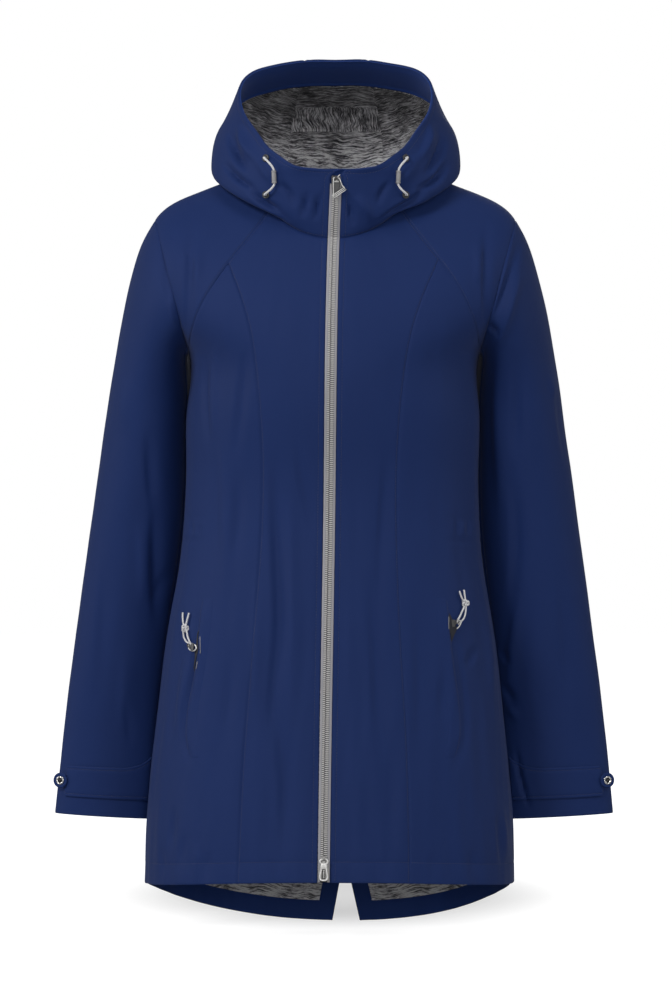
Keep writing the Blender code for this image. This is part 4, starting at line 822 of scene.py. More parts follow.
def hood_relief(point: Array) -> Array:
    """The hood's creases, front and back."""
    x, y, z = np.moveaxis(point, -1, 0)
    front = ease(0.5 - (y - 0.02) / 0.06)
    relief = HOOD_DEPTH * relief_of(HOOD_CREASES, x, z) * front
    relief = relief + relief_of(HOOD_BACK_CREASES, x, z) * (1 - front)
    return relief + drift(x * 1.6, z * 1.6, 0.0003)


def sleeve_relief(side: Side) -> Callable[[Array], Array]:
    """One sleeve's creases: those of its front and those of its back."""

    def relief(point: Array) -> Array:
        """The height over the plain sleeve at each point."""
        x, y, z = np.moveaxis(point, -1, 0)
        middle = np.interp(-z, -SLEEVE_SIZES[:, 1], SLEEVE_SIZES[:, 4])
        front = ease(0.5 - (y - middle) / 0.02)
        fullness = np.exp(-(((y - middle - 0.024) / 0.022) ** 2) - ((z + 0.184) / 0.030) ** 2)
        fullness = ARMPIT_FULLNESS * fullness * ease((0.190 - side.value * x) / 0.015)
        height = fullness + relief_of(SLEEVE_CREASES[side, View.FRONT], x, z) * front
        height = height + relief_of(SLEEVE_CREASES[side, View.BACK], x, z) * (1 - front)
        return height + drift(x * 1.3, z * 1.1, 0.00035)

    return relief


def lining_relief(point: Array) -> Array:
    """The loose knit's soft wrinkles: three crossed waves."""
    x, y, z = np.moveaxis(point, -1, 0)
    one = np.sin(150 * z + 60 * x + 2.0 * np.sin(40 * x + 25 * y)) * np.sin(45 * x + 33 * y + 0.8)
    two = np.sin(95 * x - 70 * z + 1.1) * np.sin(38 * y + 50 * z)
    return -0.0004 + 0.0004 * one + 0.0003 * two


# ---------------------------------------------------------------------------------------------
# Finishes


class Graph:
    """A material's node tree, built by short calls."""

    def __init__(self, name: str) -> None:
        """Starts a material with a Principled shader."""
        self.material = bpy.data.materials.new(name)
        self.material.use_nodes = True
        self.tree = self.material.node_tree
        self.shader = self.tree.nodes["Principled BSDF"]

    def add(self, kind: str, settings: dict | None = None, **inputs: object) -> bpy.types.Node:
        """Adds a node.

        Args:
            kind: the node's type without its prefix.
            settings: the node's own properties.
            inputs: sockets by name with _ for a space; a socket is linked, a value is set.

        Returns:
            The node.
        """
        node = self.tree.nodes.new("ShaderNode" + kind)
        for key, value in (settings or {}).items():
            setattr(node, key, value)
        for key, value in inputs.items():
            self.put(node.inputs[key.replace("_", " ")], value)
        return node

    def put(self, socket: Socket, value: object) -> None:
        """Links or sets one input."""
        if isinstance(value, Socket):
            self.tree.links.new(value, socket)
        else:
            socket.default_value = value

    def math(self, operation: str, *values: object) -> Socket:
        """One arithmetic step."""
        node = self.add("Math", {"operation": operation})
        for socket, value in zip(node.inputs, (*values, 0.0, 0.0)):
            self.put(socket, value)
        return node.outputs[0]

    def mapped(self, source: str, scale: tuple = (1.0, 1.0, 1.0), turn: float = 0.0) -> Socket:
        """Texture coordinates, scaled and turned about Z."""
        place = self.add("TexCoord").outputs[source]
        node = self.add("Mapping", Vector=place, Scale=scale, Rotation=(0.0, 0.0, turn))
        return node.outputs[0]

    def noise(self, vector: Socket, scale: float, detail: float = 2.0, rough: float = 0.5,
              warp: float = 0.0) -> Socket:
        """Perlin noise, as one value."""
        return self.add("TexNoise", Vector=vector, Scale=scale, Detail=detail, Roughness=rough,
                        Distortion=warp).outputs["Fac"]

    def wave(self, vector: Socket, period: float, direction: str) -> Socket:
        """Sine bands of that period along X or Y."""
        scale = math.pi / (10 * period)
        bands = self.add("TexWave", {"bands_direction": direction}, Vector=vector, Scale=scale)
        return bands.outputs["Fac"]

    def vector(self, operation: str, *values: object) -> Socket:
        """One step of vector arithmetic."""
        node = self.add("VectorMath", {"operation": operation})
        for socket, value in zip(node.inputs, values):
            self.put(socket, value)
        return node.outputs[0]

    def ramp(self, fac: Socket, stops: tuple[tuple[float, Colour], ...]) -> Socket:
        """A colour for each value."""
        node = self.add("ValToRGB", Fac=fac)
        while len(node.color_ramp.elements) < len(stops):
            node.color_ramp.elements.new(0.5)
        for element, (place, colour) in zip(node.color_ramp.elements, stops):
            element.position = place
            element.color = (*colour, 1.0)
        return node.outputs["Color"]

    def mix(self, fac: object, one: object, two: object, blend: str = "MIX") -> Socket:
        """Two colours mixed."""
        node = self.add("Mix", {"data_type": "RGBA", "blend_type": blend})
        for socket, value in ((node.inputs[0], fac), (node.inputs[6], one), (node.inputs[7], two)):
            self.put(socket, (*value, 1.0) if isinstance(value, tuple) and len(value) == 3 else value)
        return node.outputs[2]

    def bump(self, height: Socket, distance: float, strength: float = 1.0,
             under: Socket | None = None) -> Socket:
        """A bumped normal, over another one where there is one."""
        node = self.add("Bump", Height=height, Distance=distance, Strength=strength)
        if under is not None:
            self.put(node.inputs["Normal"], under)
        return node.outputs[0]

    def dress(self, **inputs: object) -> bpy.types.Material:
        """Sets the shader's inputs and returns the material."""
        for key, value in inputs.items():
            if isinstance(value, tuple) and len(value) == 3:
                value = (*value, 1.0)
            self.put(self.shader.inputs[key.replace("_", " ")], value)
        return self.material


@dataclass(frozen=True)
class Finish:
    """What a piece is made of. material() builds it once and then hands it out again."""

    name: str
    slot: str

    def build(self, graph: Graph) -> bpy.types.Material:
        """Fills in the node tree."""
        raise NotImplementedError

    def material(self) -> bpy.types.Material:
        """The finish's material."""
        return bpy.data.materials.get(self.name) or self.build(Graph(self.name))


@dataclass(frozen=True)
class WovenCloth(Finish):
    """Tightly woven polyester: a fine plain weave, faint crumple and a little sheen."""

    colour: Colour = (0.0080, 0.0242, 0.1080)
    shade: Colour = (0.0066, 0.0208, 0.0945)
    roughness: float = 0.62
    sheen: float = 0.05
    thread: float = 0.00042
    crumple: float = 0.00016

    def build(self, graph: Graph) -> bpy.types.Material:
        """Colour from two noises, roughness from one, and weave over crumple as bump."""
        place = graph.mapped("UV")
        solid = graph.mapped("Object")
        broad = graph.noise(solid, 9.0, 3.0, 0.55, 0.4)
        colour = graph.mix(broad, self.shade, self.colour)
        warp = graph.wave(place, self.thread, "X")
        weft = graph.wave(place, self.thread, "Y")
        weave = graph.math("MULTIPLY", warp, weft)
        slub = graph.noise(graph.mapped("UV", (260.0, 2600.0, 1.0)), 1.0, 2.0)
        colour = graph.mix(graph.math("MULTIPLY", slub, 0.16), colour, (0.030, 0.050, 0.170))
        rough = graph.math("MULTIPLY_ADD", broad, 0.10, self.roughness - 0.05)
        soft = graph.bump(graph.noise(solid, 55.0, 4.0, 0.55, 0.3), self.crumple * 6, 0.35)
        fine = graph.bump(graph.noise(solid, 210.0, 3.0, 0.5), self.crumple, 0.25, soft)
        normal = graph.bump(weave, 0.00006, 0.5, fine)
        return graph.dress(Base_Color=colour, Roughness=rough, Sheen_Weight=self.sheen,
                           Sheen_Roughness=0.45, Sheen_Tint=(0.85, 0.86, 0.92), Specular_IOR_Level=0.12,
                           Normal=normal)


@dataclass(frozen=True)
class MelangeKnit(Finish):
    """Space-dyed jersey: long uneven streaks of light and dark yarn that wander a little."""

    turn: float = 0.0
    streak: float = 0.012
    yarn: float = 0.0012
    # light: the colour's scale at high_z and above, then at low_z and below; painted light, brighter low down
    # and darker high up
    light: tuple[float, float] = (0.75, 3.5)
    low_z: float = 0.030
    high_z: float = 0.105
    BRIGHTEST = 0.78

    def build(self, graph: Graph) -> bpy.types.Material:
        """Streaks are noise stretched along the courses, over slow light and dark patches, then scaled by
        height as painted light.
        """
        place = graph.mapped("UV", turn=self.turn)
        sway = graph.add("TexNoise", Vector=place, Scale=26.0, Detail=2.0).outputs["Color"]
        sway = graph.vector("SUBTRACT", sway, (0.5, 0.5, 0.5))
        bent = graph.vector("MULTIPLY_ADD", sway, (0.010, 0.022, 0.0), place)
        across, along = 1 / self.streak, 1 / self.yarn
        long = graph.add("Mapping", Vector=bent, Scale=(across, along, 1.0)).outputs[0]
        short = graph.add("Mapping", Vector=bent, Scale=(3.5 * across, 1.7 * along, 1.0)).outputs[0]
        streaks = graph.noise(long, 0.62, 2.5, 0.6, 0.5)
        flecks = graph.noise(short, 0.8, 2.0, 0.6)
        patches = graph.noise(place, 38.0, 2.0, 0.5, 1.2)
        tone = graph.math("MULTIPLY_ADD", streaks, 1.45, -0.27)
        tone = graph.math("MULTIPLY_ADD", flecks, 0.85, tone)
        tone = graph.math("MULTIPLY_ADD", patches, 0.55, graph.math("SUBTRACT", tone, 0.66))
        colour = graph.ramp(tone, (
            (0.22, (0.020, 0.020, 0.023)),
            (0.38, (0.070, 0.068, 0.073)),
            (0.50, (0.180, 0.176, 0.184)),
            (0.63, (0.360, 0.354, 0.364)),
            (0.80, (0.620, 0.612, 0.622)),
        ))
        # Painted light: the colour is scaled by height, most below low_z and least above high_z, and capped at
        # BRIGHTEST.
        height = graph.add("SeparateXYZ", Vector=graph.mapped("Object")).outputs["Z"]
        light = graph.add("MapRange", Value=height, From_Min=self.low_z, From_Max=self.high_z,
                          To_Min=self.light[1], To_Max=self.light[0]).outputs["Result"]
        scaled = graph.add("VectorMath", {"operation": "SCALE"}, Vector=colour, Scale=light).outputs[0]
        colour = graph.vector("MINIMUM", scaled, (self.BRIGHTEST,) * 3)
        courses = graph.wave(bent, self.yarn, "Y")
        normal = graph.bump(courses, 0.0003, 0.5, graph.bump(streaks, 0.0008, 0.5))
        return graph.dress(Base_Color=colour, Roughness=0.92, Sheen_Weight=0.1,
                           Specular_IOR_Level=0.1, Normal=normal)


@dataclass(frozen=True)
class WovenTape(Finish):
    """Zip tape: a fine herringbone, a little darker in its furrows, and near black under the teeth as painted
    shade.
    """

    colour: Colour = (0.40, 0.395, 0.43)
    dark: Colour = (0.27, 0.267, 0.29)
    rib: float = 0.0009
    teeth_to: float = 0.0006

    def build(self, graph: Graph) -> bpy.types.Material:
        """Two slanting waves for the herringbone, as colour and bump, and a near-black band under the teeth as
        painted shade.
        """
        one = graph.wave(graph.mapped("UV", turn=0.7), self.rib, "Y")
        two = graph.wave(graph.mapped("UV"), self.rib * 2.2, "X")
        rib = graph.math("MULTIPLY", one, graph.math("MULTIPLY_ADD", two, 0.5, 0.5))
        broad = graph.noise(graph.mapped("Object"), 60.0, 2.0)
        tone = graph.math("MULTIPLY_ADD", rib, 0.7, graph.math("MULTIPLY", broad, 0.3))
        # Painted shade: the tape is near black from its inner edge to teeth_to, measured from its middle, so
        # the gaps between the teeth look dark.
        across = graph.add("SeparateXYZ", Vector=graph.mapped("UV")).outputs["X"]
        start = self.teeth_to - 0.0004
        under = graph.add(
            "MapRange", Value=across, From_Min=start, From_Max=self.teeth_to).outputs["Result"]
        colour = graph.mix(under, (0.014, 0.014, 0.017), graph.mix(tone, self.dark, self.colour))
        return graph.dress(Base_Color=colour, Roughness=0.72, Sheen_Weight=0.1,
                           Specular_IOR_Level=0.3, Normal=graph.bump(rib, 0.00012, 0.6))


@dataclass(frozen=True)
class CastMetal(Finish):
    """Plated die-cast metal, a little uneven, with duller patches."""

    colour: Colour = (0.62, 0.61, 0.60)
    roughness: float = 0.26
    metallic: float = 1.0

    def build(self, graph: Graph) -> bpy.types.Material:
        """Roughness and faint bump from noise."""
        place = graph.mapped("Object")
        cloud = graph.noise(place, 420.0, 3.0, 0.6)
        rough = graph.math("MULTIPLY_ADD", cloud, 0.16, self.roughness - 0.08)
        tint = tuple(0.86 * value for value in self.colour)
        colour = graph.mix(cloud, tint, self.colour)
        return graph.dress(Base_Color=colour, Roughness=rough, Metallic=self.metallic,
                           Normal=graph.bump(graph.noise(place, 900.0, 2.0), 0.00002, 0.25))


@dataclass(frozen=True)
class BraidedCord(Finish):
    """A round braid: strands that cross in both directions along the cord."""

    colour: Colour = (0.80, 0.795, 0.81)
    dark: Colour = (0.40, 0.395, 0.41)
    strand: float = 0.0016

    def build(self, graph: Graph) -> bpy.types.Material:
        """The larger of two slanting waves on the cord's own UV, as colour and bump."""
        one = graph.wave(graph.mapped("UV", turn=0.75), self.strand, "X")
        two = graph.wave(graph.mapped("UV", turn=-0.75), self.strand, "X")
        braid = graph.math("MAXIMUM", one, two)
        tone = graph.math("POWER", braid, 1.5)
        return graph.dress(Base_Color=graph.mix(tone, self.dark, self.colour), Roughness=0.78,
                           Sheen_Weight=0.2, Specular_IOR_Level=0.3, Normal=graph.bump(braid, 0.00025, 0.8))


@dataclass(frozen=True)
class SoftRubber(Finish):
    """Moulded grey rubber with a faint grain."""

    colour: Colour = (0.30, 0.295, 0.30)

    def build(self, graph: Graph) -> bpy.types.Material:
        """Fine noise in colour and bump."""
        grain = graph.noise(graph.mapped("Object"), 700.0, 3.0)
        dull = tuple(0.8 * value for value in self.colour)
        return graph.dress(Base_Color=graph.mix(grain, dull, self.colour), Roughness=0.5,
                           Normal=graph.bump(grain, 0.00008, 0.5))


@dataclass(frozen=True)
class Backdrop(Finish):
    """Pale paper with the faintest mottle, that glows white to the camera but for an oval under the coat, where
    it glows less as a painted shadow over the real shade.
    """

    centre_y: float = 0.75
    reach_x: float = 0.37
    reach_y: float = 0.76
    low_glow: float = 0.40

    def build(self, graph: Graph) -> bpy.types.Material:
        """A grey mottle from one slow noise, glowing white to the camera but less in the oval, a painted
        shadow.
        """
        place = graph.mapped("Object")
        cloud = graph.noise(place, 1.5, 2.0)
        # Painted shadow: the glow drops to low_glow in an oval round (0, centre_y), where the real shade on the
        # grey paper shows.
        spot = graph.add("Mapping", Vector=place, Location=(0.0, -self.centre_y / self.reach_y, 0.0),
                         Scale=(1 / self.reach_x, 1 / self.reach_y, 0.0)).outputs[0]
        away = graph.add("VectorMath", {"operation": "LENGTH"}, Vector=spot).outputs["Value"]
        glow = graph.add("MapRange", {"interpolation_type": "SMOOTHSTEP"}, Value=away, From_Min=0.35,
                         From_Max=1.0, To_Min=self.low_glow, To_Max=1.0).outputs["Result"]
        seen = graph.math("MULTIPLY", glow, graph.add("LightPath").outputs["Is Camera Ray"])
        grey = graph.mix(cloud, (0.44, 0.44, 0.44), (0.46, 0.46, 0.46))
        return graph.dress(Base_Color=grey, Roughness=0.9, Specular_IOR_Level=0.0,
                           Emission_Color=(1.0, 1.0, 1.0), Emission_Strength=seen)


NAVY = WovenCloth("navy_cloth", "shell")
# The facings' navy is about twice as bright as the shell's: painted light on the inside of the hood and of the
# hem.
INSIDE_NAVY_PAINTED_LIGHT = WovenCloth(
    "navy_cloth_inside", "facing", (0.0172, 0.0480, 0.204), (0.0145, 0.0412, 0.178), 0.66)
THREAD = BraidedCord("navy_thread", "shell", (0.018, 0.031, 0.115), (0.008, 0.014, 0.055), 0.0006)
# The light pairs are painted light: the hood's lining brighter low down and darker under the hood's top, and
# the back's lining (KNIT_LOW) three times brighter all over.
KNIT = MelangeKnit("melange_knit", "lining")
KNIT_ACROSS = MelangeKnit("melange_knit_across", "lining", math.pi / 2, 0.016, 0.0009, (1.1, 3.8))
KNIT_LOW = MelangeKnit("melange_knit_low", "lining", 0.0, 0.014, 0.0012, (3.0, 3.0))
TAPE_CLOTH = WovenTape("zip_tape_cloth", "tape")
# The pocket's zip strip is painted near black, as the shadow inside the pocket's opening.
POCKET_TAPE_SHADE = WovenTape("pocket_tape_cloth", "tape", (0.020, 0.022, 0.034), (0.010, 0.011, 0.018),
                        teeth_to=-1.0)
SILVER = CastMetal("cast_metal", "metal", (0.80, 0.79, 0.77), 0.24)
PULL_METAL = CastMetal("pull_metal", "metal", (0.80, 0.79, 0.775), 0.34, 0.45)
# Near-black metal: the eyelets' own dark colour, and painted shade on the top slider, behind the top pull's
# frame and on the pocket sliders.
DIM_METAL_AND_SHADE = CastMetal("shaded_metal", "metal", (0.060, 0.060, 0.063), 0.42, 0.3)
GREY_METAL = CastMetal("grey_metal", "metal", (0.30, 0.295, 0.29), 0.42, 0.3)
# Black metal: the snaps' dark middles, and painted shade in the eyelets' holes and in the bottom slider's slot.
DARK_METAL_AND_SHADE = CastMetal("dark_metal", "metal", (0.05, 0.05, 0.055), 0.4)
TEETH = CastMetal("zip_teeth", "metal", (0.52, 0.51, 0.505), 0.5, 0.0)
CORD = BraidedCord("braided_cord", "cord")
RUBBER = SoftRubber("soft_rubber", "toggle")
PAPER = Backdrop("pale_paper", "shell")


# ---------------------------------------------------------------------------------------------
# Meshes


def new_object(name: str, points: Array, faces: list, finish: Finish, uv: Array | None = None) -> Thing:
    """Makes a smooth mesh object with its material, and its UV map where one is given."""
    mesh = bpy.data.meshes.new(name)
    mesh.from_pydata(points.reshape(-1, 3), [], faces)
    if uv is not None:
        corners = np.zeros(len(mesh.loops), int)
        mesh.loops.foreach_get("vertex_index", corners)
        layer = mesh.uv_layers.new(name="UVMap")
        layer.data.foreach_set("uv", uv.reshape(-1, 2)[corners].astype(np.float32).ravel())
    mesh.materials.append(finish.material())
    mesh.shade_smooth()
    obj = bpy.data.objects.new(name, mesh)
    bpy.context.scene.collection.objects.link(obj)
    return obj


@contextmanager
def edited(mesh: bpy.types.Mesh) -> Iterator[bmesh.types.BMesh]:
    """A mesh opened for editing, and written back afterwards."""
    work = bmesh.new()
    work.from_mesh(mesh)
    yield work
    work.to_mesh(mesh)
    work.free()


def settle(obj: Thing, finish: Finish, body: str = COAT, nodes: tuple[str, ...] = ()) -> Thing:
    """Hangs a finished piece on its body and hides the nodes that it stands for."""
    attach(obj, body)
    if nodes:
        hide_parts(*nodes)
    log.info("%s: %d faces", obj.name, len(obj.data.polygons))
    return obj


def grid_faces(rows: int, columns: int, start: int, flip: bool) -> Array:
    """Quads of a grid whose points are numbered row by row from start."""
    corner = start + (np.arange(rows - 1)[:, None] * columns + np.arange(columns - 1)).ravel()
    quads = np.stack((corner, corner + 1, corner + columns + 1, corner + columns), -1)
    return quads[:, ::-1] if flip else quads


def prisms(copies: int, rings: int) -> list:
    """The faces of many closed square tubes, whose points are numbered copy, ring, corner."""
    faces = [(4 * i + j, 4 * i + (j + 1) % 4, 4 * i + 4 + (j + 1) % 4, 4 * i + 4 + j)
             for i in range(rings - 1) for j in range(4)]
    faces += [(3, 2, 1, 0), tuple(4 * (rings - 1) + j for j in range(4))]
    starts = np.arange(copies)[:, None, None] * 4 * rings
    return (starts + np.array(faces)[None]).reshape(-1, 4).tolist()


def closed_wall(name: str, outer: Array, inner: Array, outward: Array, uv: Array, finish: Finish) -> Thing:
    """A closed wall from two grids, with quads round its rim and equal points merged."""
    rows, columns = outer.shape[:2]
    count = rows * columns
    middle = rows // 2, columns // 2
    across = outer[middle[0], middle[1] + 1] - outer[middle]
    along = outer[middle[0] + 1, middle[1]] - outer[middle]
    flip = float(np.cross(across, along) @ outward[middle]) < 0
    loop = np.concatenate((
        np.arange(columns), np.arange(2, rows) * columns - 1,
        (np.arange(columns) + count - columns)[::-1], (np.arange(1, rows - 1) * columns)[::-1],
    ))
    after = np.roll(loop, -1)
    rim_quads = np.stack((loop, loop + count, after + count, after), -1)
    if flip:
        rim_quads = rim_quads[:, ::-1]
    walls = grid_faces(rows, columns, 0, flip), grid_faces(rows, columns, count, not flip)
    faces = np.concatenate((*walls, rim_quads))
    points = np.concatenate((outer.reshape(-1, 3), inner.reshape(-1, 3)))
    obj = new_object(name, points, faces.tolist(), finish, np.concatenate((uv.reshape(-1, 2),) * 2))
    with edited(obj.data) as mesh:
        bmesh.ops.remove_doubles(mesh, verts=mesh.verts, dist=MERGE)
    round_edges(obj, CLOTH_EDGE, 58)
    return obj


def round_edges(obj: Thing, width: float, angle: float) -> bpy.types.BevelModifier:
    """Rounds a piece's edges that are sharper than an angle in degrees."""
    bevel = obj.modifiers.new("rounded_edges", "BEVEL")
    bevel.width, bevel.segments, bevel.limit_method = width, 2, "ANGLE"
    bevel.angle_limit = math.radians(angle)
    bevel.use_clamp_overlap = True
    return bevel


@dataclass(frozen=True)
class EdgeFinish:
    """How an edge is sewn: the groove that it rolls into, and its rows of stitches.

    roll is the groove's depth and reach its width: roll exp(-(d / reach)^2) at a distance d.
    """

    roll: float = 0.0010
    reach: float = 0.0014
    stitches: tuple[float, ...] = ()
    DIP = 0.00030
    DIP_REACH = 0.0010

    def offsets(self) -> Array:
        """Where the grid needs its lines: close to the edge and beside each row of stitches."""
        near = [0.0, 0.0006, 0.0013, 0.0023, 0.0038]
        for place in self.stitches:
            near += [place - 0.0012, place, place + 0.0012]
        near = sorted(value for value in near if value >= 0)
        kept = [near[0]]
        for value in near[1:]:
            if value - kept[-1] > 0.00045:
                kept.append(value)
        return np.array(kept)

    def relief(self, distance: Array, along: Array) -> Array:
        """The groove and the dips under the stitches, with small uneven puckers."""
        height = -self.roll * np.exp(-((distance / self.reach) ** 2))
        pucker = 1 + 0.5 * np.sin(along / 0.0011) * np.sin(along / 0.0137 + 1.0)
        for place in self.stitches:
            height = height - self.DIP * pucker * np.exp(-(((distance - place) / self.DIP_REACH) ** 2))
        return height


PLAIN = EdgeFinish()
FOLDED = EdgeFinish(0.0004, 0.0009)
BUTTED = EdgeFinish(0.0, 0.001)
TOPSTITCHED = EdgeFinish(stitches=(0.0019,))
TWIN_STITCHED = EdgeFinish(stitches=(0.0017, 0.0066))
ZIP_EDGE = EdgeFinish(0.0004, 0.0010, (0.0055,))
HEMMED = EdgeFinish(0.0004, 0.0009, (0.0225,))
RIM_EDGE = EdgeFinish(0.0004, 0.0009, (0.0065,))
TAB_EDGE = EdgeFinish(0.0004, 0.0008, (0.0032,))


class Sewing:
    """Collects rows of stitches and makes one mesh of them for each piece of cloth.

    A stitch is a short thread: three square rings along its run, the middle one raised.
    """

    PITCH = 0.0031
    LENGTH = 0.0023
    HALF_WIDTH = 0.00024
    RAISED = 0.00016
    RINGS = ((-0.5, 0.30, -0.6), (-0.22, 1.0, 0.75), (0.22, 1.0, 0.75), (0.5, 0.30, -0.6))

    def __init__(self) -> None:
        """Starts with no stitches."""
        self.runs: dict[str, list[tuple[Array, Array, Array]]] = {}

    def sew(self, piece: str, line: Array, outward: Array) -> None:
        """Lays stitches along a line on the cloth.

        Args:
            piece: the name of the cloth that they belong to.
            line: points along the run.
            outward: the cloth's normals there.
        """
        if len(line) < 3:
            return
        along = np.concatenate(([0], np.cumsum(np.linalg.norm(np.diff(line, axis=0), axis=1))))
        if along[-1] < 3 * self.PITCH:
            return
        places = np.arange(self.PITCH * 0.6, along[-1] - self.PITCH * 0.4, self.PITCH)

        def read(values: Array, at: Array) -> Array:
            """Values of each column at places along the run."""
            return np.stack([np.interp(at, along, column) for column in values.T], -1)

        centre = read(line, places)
        tangent = unit(read(line, places + 0.001) - read(line, places - 0.001))
        out = unit(read(outward, places))
        self.runs.setdefault(piece, []).append((centre, tangent, out))

    def build(self) -> None:
        """Makes the stitches of every piece."""
        for piece, runs in self.runs.items():
            centre, tangent, out = (np.concatenate([run[i] for run in runs]) for i in range(3))
            side = unit(np.cross(tangent, out))
            rings = []
            for place, wide, raised in self.RINGS:
                middle = centre + tangent * place * self.LENGTH + out * raised * self.RAISED
                radius = wide * self.HALF_WIDTH
                rings.append(np.stack((middle + side * radius, middle + out * radius * 0.8,
                                       middle - side * radius, middle - out * radius * 0.8), 1))
            points = np.stack(rings, 1)
            count = len(self.RINGS)
            uv = np.zeros((len(centre), count, 4, 2))
            uv[..., 0] = np.arange(count)[None, :, None] * 0.0008
            uv[..., 1] = np.arange(4)[None, None, :] * 0.0003
            faces = prisms(len(centre), count)
            settle(new_object("stitching_" + piece, points, faces, THREAD, uv), THREAD)


SEWING = Sewing()


def level_line(distance: Array, value: float, fields: tuple[Array, ...], keep: Array) -> tuple[Array, ...]:
    """Reads fields along the line where distance, which grows along each row, equals value.

    Args:
        distance: one value for each point of the grid.
        value: the distance of the line.
        fields: grids to read there.
        keep: which points of the grid may carry the line.

    Returns:
        Each field along the line, in the order of the rows.
    """
    index = np.clip((distance < value).sum(1), 1, distance.shape[1] - 1)
    row = np.arange(len(distance))
    low, high = distance[row, index - 1], distance[row, index]
    share = np.clip((value - low) / np.maximum(high - low, 1e-9), 0, 1)[:, None]
    good = (low <= value) & (high >= value) & keep[row, index]
    return tuple((f[row, index - 1] * (1 - share) + f[row, index] * share)[good] for f in fields)


